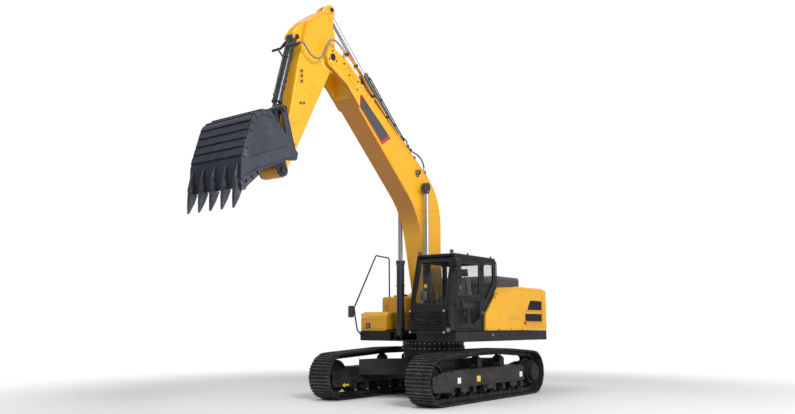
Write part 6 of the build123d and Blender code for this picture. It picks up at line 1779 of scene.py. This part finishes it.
def bucket_back(sizes):
    """The wear strips over the bucket's back and the segments of its two rims, and a dark sheet of painted
    shade in each gap between them.
    """
    strips, gap_shade, rims = Shape(), Shape(), Shape()
    total = shell_band(0, 1, 0, 0.01)[1]
    first, last = 0.86, total - 0.5
    strip_half, gap_half = 0.628, 0.634
    pitch = (last - first) / sizes.strips
    for i in range(sizes.strips):
        start = first + i * pitch
        outline, _ = shell_band(start, start + 0.84 * pitch, -0.002, (0.01, 0.026), 6)
        sheet_metal(strips, outline, "xz", -strip_half, 2 * strip_half, 0.004)
        # a thin dark sheet in the gap after each strip: painted shade between the strips
        gap, _ = shell_band(start + 0.83 * pitch, start + 1.01 * pitch, -0.001, 0.003, 4)
        sheet_metal(gap_shade, gap, "xz", -gap_half, 2 * gap_half, 0.001)
    for i in range(sizes.strips):
        start = first + i * pitch
        outline, _ = shell_band(start, start + 0.9 * pitch, -0.09, 0.006, 6)
        # a thin dark sheet in the gap after each rim segment: painted shade between them
        gap, _ = shell_band(start + 0.88 * pitch, start + 1.02 * pitch, -0.06, 0.002, 4)
        for side in (1, -1):
            sheet_metal(rims, outline, "xz", side * BUCKET_SIDE, side * 0.016, 0.004)
            sheet_metal(gap_shade, gap, "xz", side * BUCKET_SIDE, side * 0.004, 0.001)
    low_edge, _ = shell_band(total - 0.48, total - 0.04, -0.05, 0.004, 8)
    for side in (1, -1):
        sheet_metal(rims, low_edge, "xz", side * BUCKET_SIDE, side * 0.014, 0.004)
        bead(rims, shell_line(first, last, -0.096, side * 0.646), 0.012)
    return strips, gap_shade, rims


class DetailBucket(bpy.types.Operator):
    """Add the wear strips, rim segments, tooth adapters, cutter bolts and pin caps to the bucket"""

    bl_idname = "excavator.detail_bucket"
    bl_label = "Detail the bucket"

    def execute(self, context):
        sizes = context.scene.excavator_sizes
        strips, gap_shade, rims = bucket_back(sizes)
        legs, heads, caps = Shape(), Shape(), Shape()
        for side in (1, -1):
            y = side * 0.6455
            bead(rims, beside([(6.48, 4.33), (5.96, 4.56), (5.33, 4.8)], y), 0.016)
            edge = beside([(6.47, 3.9), (6.2, 4.19), (5.56, 4.5), (5.33, 4.56)], y)
            bead(rims, edge, 0.02)
            spots = np.array([(6.235, 4.13), (6.36, 4.04), (6.48, 3.945)])
            bolts(heads, beside(spots, side * 0.674), side * Y, 0.052)
            pin_cap(caps, BUCKET_PIN, side * 0.272, side, 0.068)
            pin_cap(caps, LINK_PIN, side * 0.272, side, 0.06)
            lathe(rims, (6.56, side * 0.65, 3.905), side * Y, [(0.052, -0.02), (0.052, 0.03),
                                                               (0.046, 0.036), (0.026, 0.036),
                                                               (0.022, 0.026), (0.001, 0.026)], 22)
            # stiffening ribs on the ears
            bead(rims, beside([(5.31, 4.5), (5.56, 4.74), (5.76, 5.09)], side * 0.261), 0.018)
        for y in 0.575 * np.linspace(-1, 1, 5):
            leg = rounded([(6.59, 3.88), (6.664, 3.96), (6.658, 4.04), (6.636, 4.15), (6.612, 4.23),
                           (6.59, 4.24)], 0.01)
            sheet_metal(legs, leg, "xz", y - 0.02, 0.04, 0.01)
            pad(legs, (6.645, y, 3.955), (0.03, 0.07, 0.09), 0.014, 0.01, "x")
            inner = rounded([(6.53, 3.93), (6.5, 3.95), (6.48, 4.18), (6.5, 4.25), (6.53, 4.25)], 0.01)
            sheet_metal(legs, inner, "xz", y - 0.03, 0.06, 0.008)
            pad(legs, (6.62, y, 3.905), (0.078, 0.096, 0.11), 0.018, 0.012, "y")
            for side in (1, -1):
                lathe(heads, (6.625, y + side * 0.048, 3.88), side * Y, [(0.02, -0.004), (0.022, 0.003),
                                                                         (0.014, 0.007), (0.0, 0.007)], 10)
        strips.piece("bucket_wear_strips", "bucket", "tool")
        # the dark sheets of painted shade between the strips and between the rim segments
        gap_shade.piece("bucket_strip_gap_shade", "bucket", "mesh", "tool_steel")
        rims.piece("bucket_rim_segments", "bucket", "tool")
        legs.piece("tooth_adapters", "bucket", "wear")
        heads.piece("bucket_bolts", "bucket", "bolt")
        caps.piece("bucket_pin_caps", "bucket", "bolt")
        knuckle = Shape()
        for side in (1, -1):
            pin_cap(knuckle, KNUCKLE, side * 0.254, side, 0.058)
            rim = at_pin(KNUCKLE, side * 0.24)
            drum(knuckle, rim, side * Y, 0.07, -0.002, 0.006, 0.002, 28)
        knuckle.piece("rocker_pin_caps", "rocker_links", "bolt")
        return {"FINISHED"}


# ------------------------------------------------------------------ the add-on
STEPS = [PaintNodes, BuildStage, FitHoses, DetailTracks, DetailRunningGear, DetailBody, DetailRightSide,
         DetailCab, FitSeat, DetailBoom, DetailArm, DetailCylinders, DetailBucket]


class ExcavatorPanel(bpy.types.Panel):
    """Lists the machine's colours, sizes and building steps"""

    bl_idname = "VIEW3D_PT_excavator"
    bl_label = "Excavator"
    bl_space_type = "VIEW_3D"
    bl_region_type = "UI"
    bl_category = "Excavator"

    def draw(self, context):
        for group in (context.scene.excavator_colours, context.scene.excavator_sizes):
            box = self.layout.box()
            for name in group.__annotations__:
                box.prop(group, name)
        for step in STEPS:
            self.layout.operator(step.bl_idname)


CLASSES = [ExcavatorColours, ExcavatorSizes, *STEPS, ExcavatorPanel]


def register():
    for cls in CLASSES:
        bpy.utils.register_class(cls)
    bpy.types.Scene.excavator_colours = PointerProperty(type=ExcavatorColours)
    bpy.types.Scene.excavator_sizes = PointerProperty(type=ExcavatorSizes)


def unregister():
    del bpy.types.Scene.excavator_sizes
    del bpy.types.Scene.excavator_colours
    for cls in reversed(CLASSES):
        bpy.utils.unregister_class(cls)


def main():
    """Register the add-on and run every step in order."""
    register()
    for step in STEPS:
        family, action = step.bl_idname.split(".")
        getattr(getattr(bpy.ops, family), action)()
    bpy.context.view_layer.update()


if __name__ == "__main__":
    main()
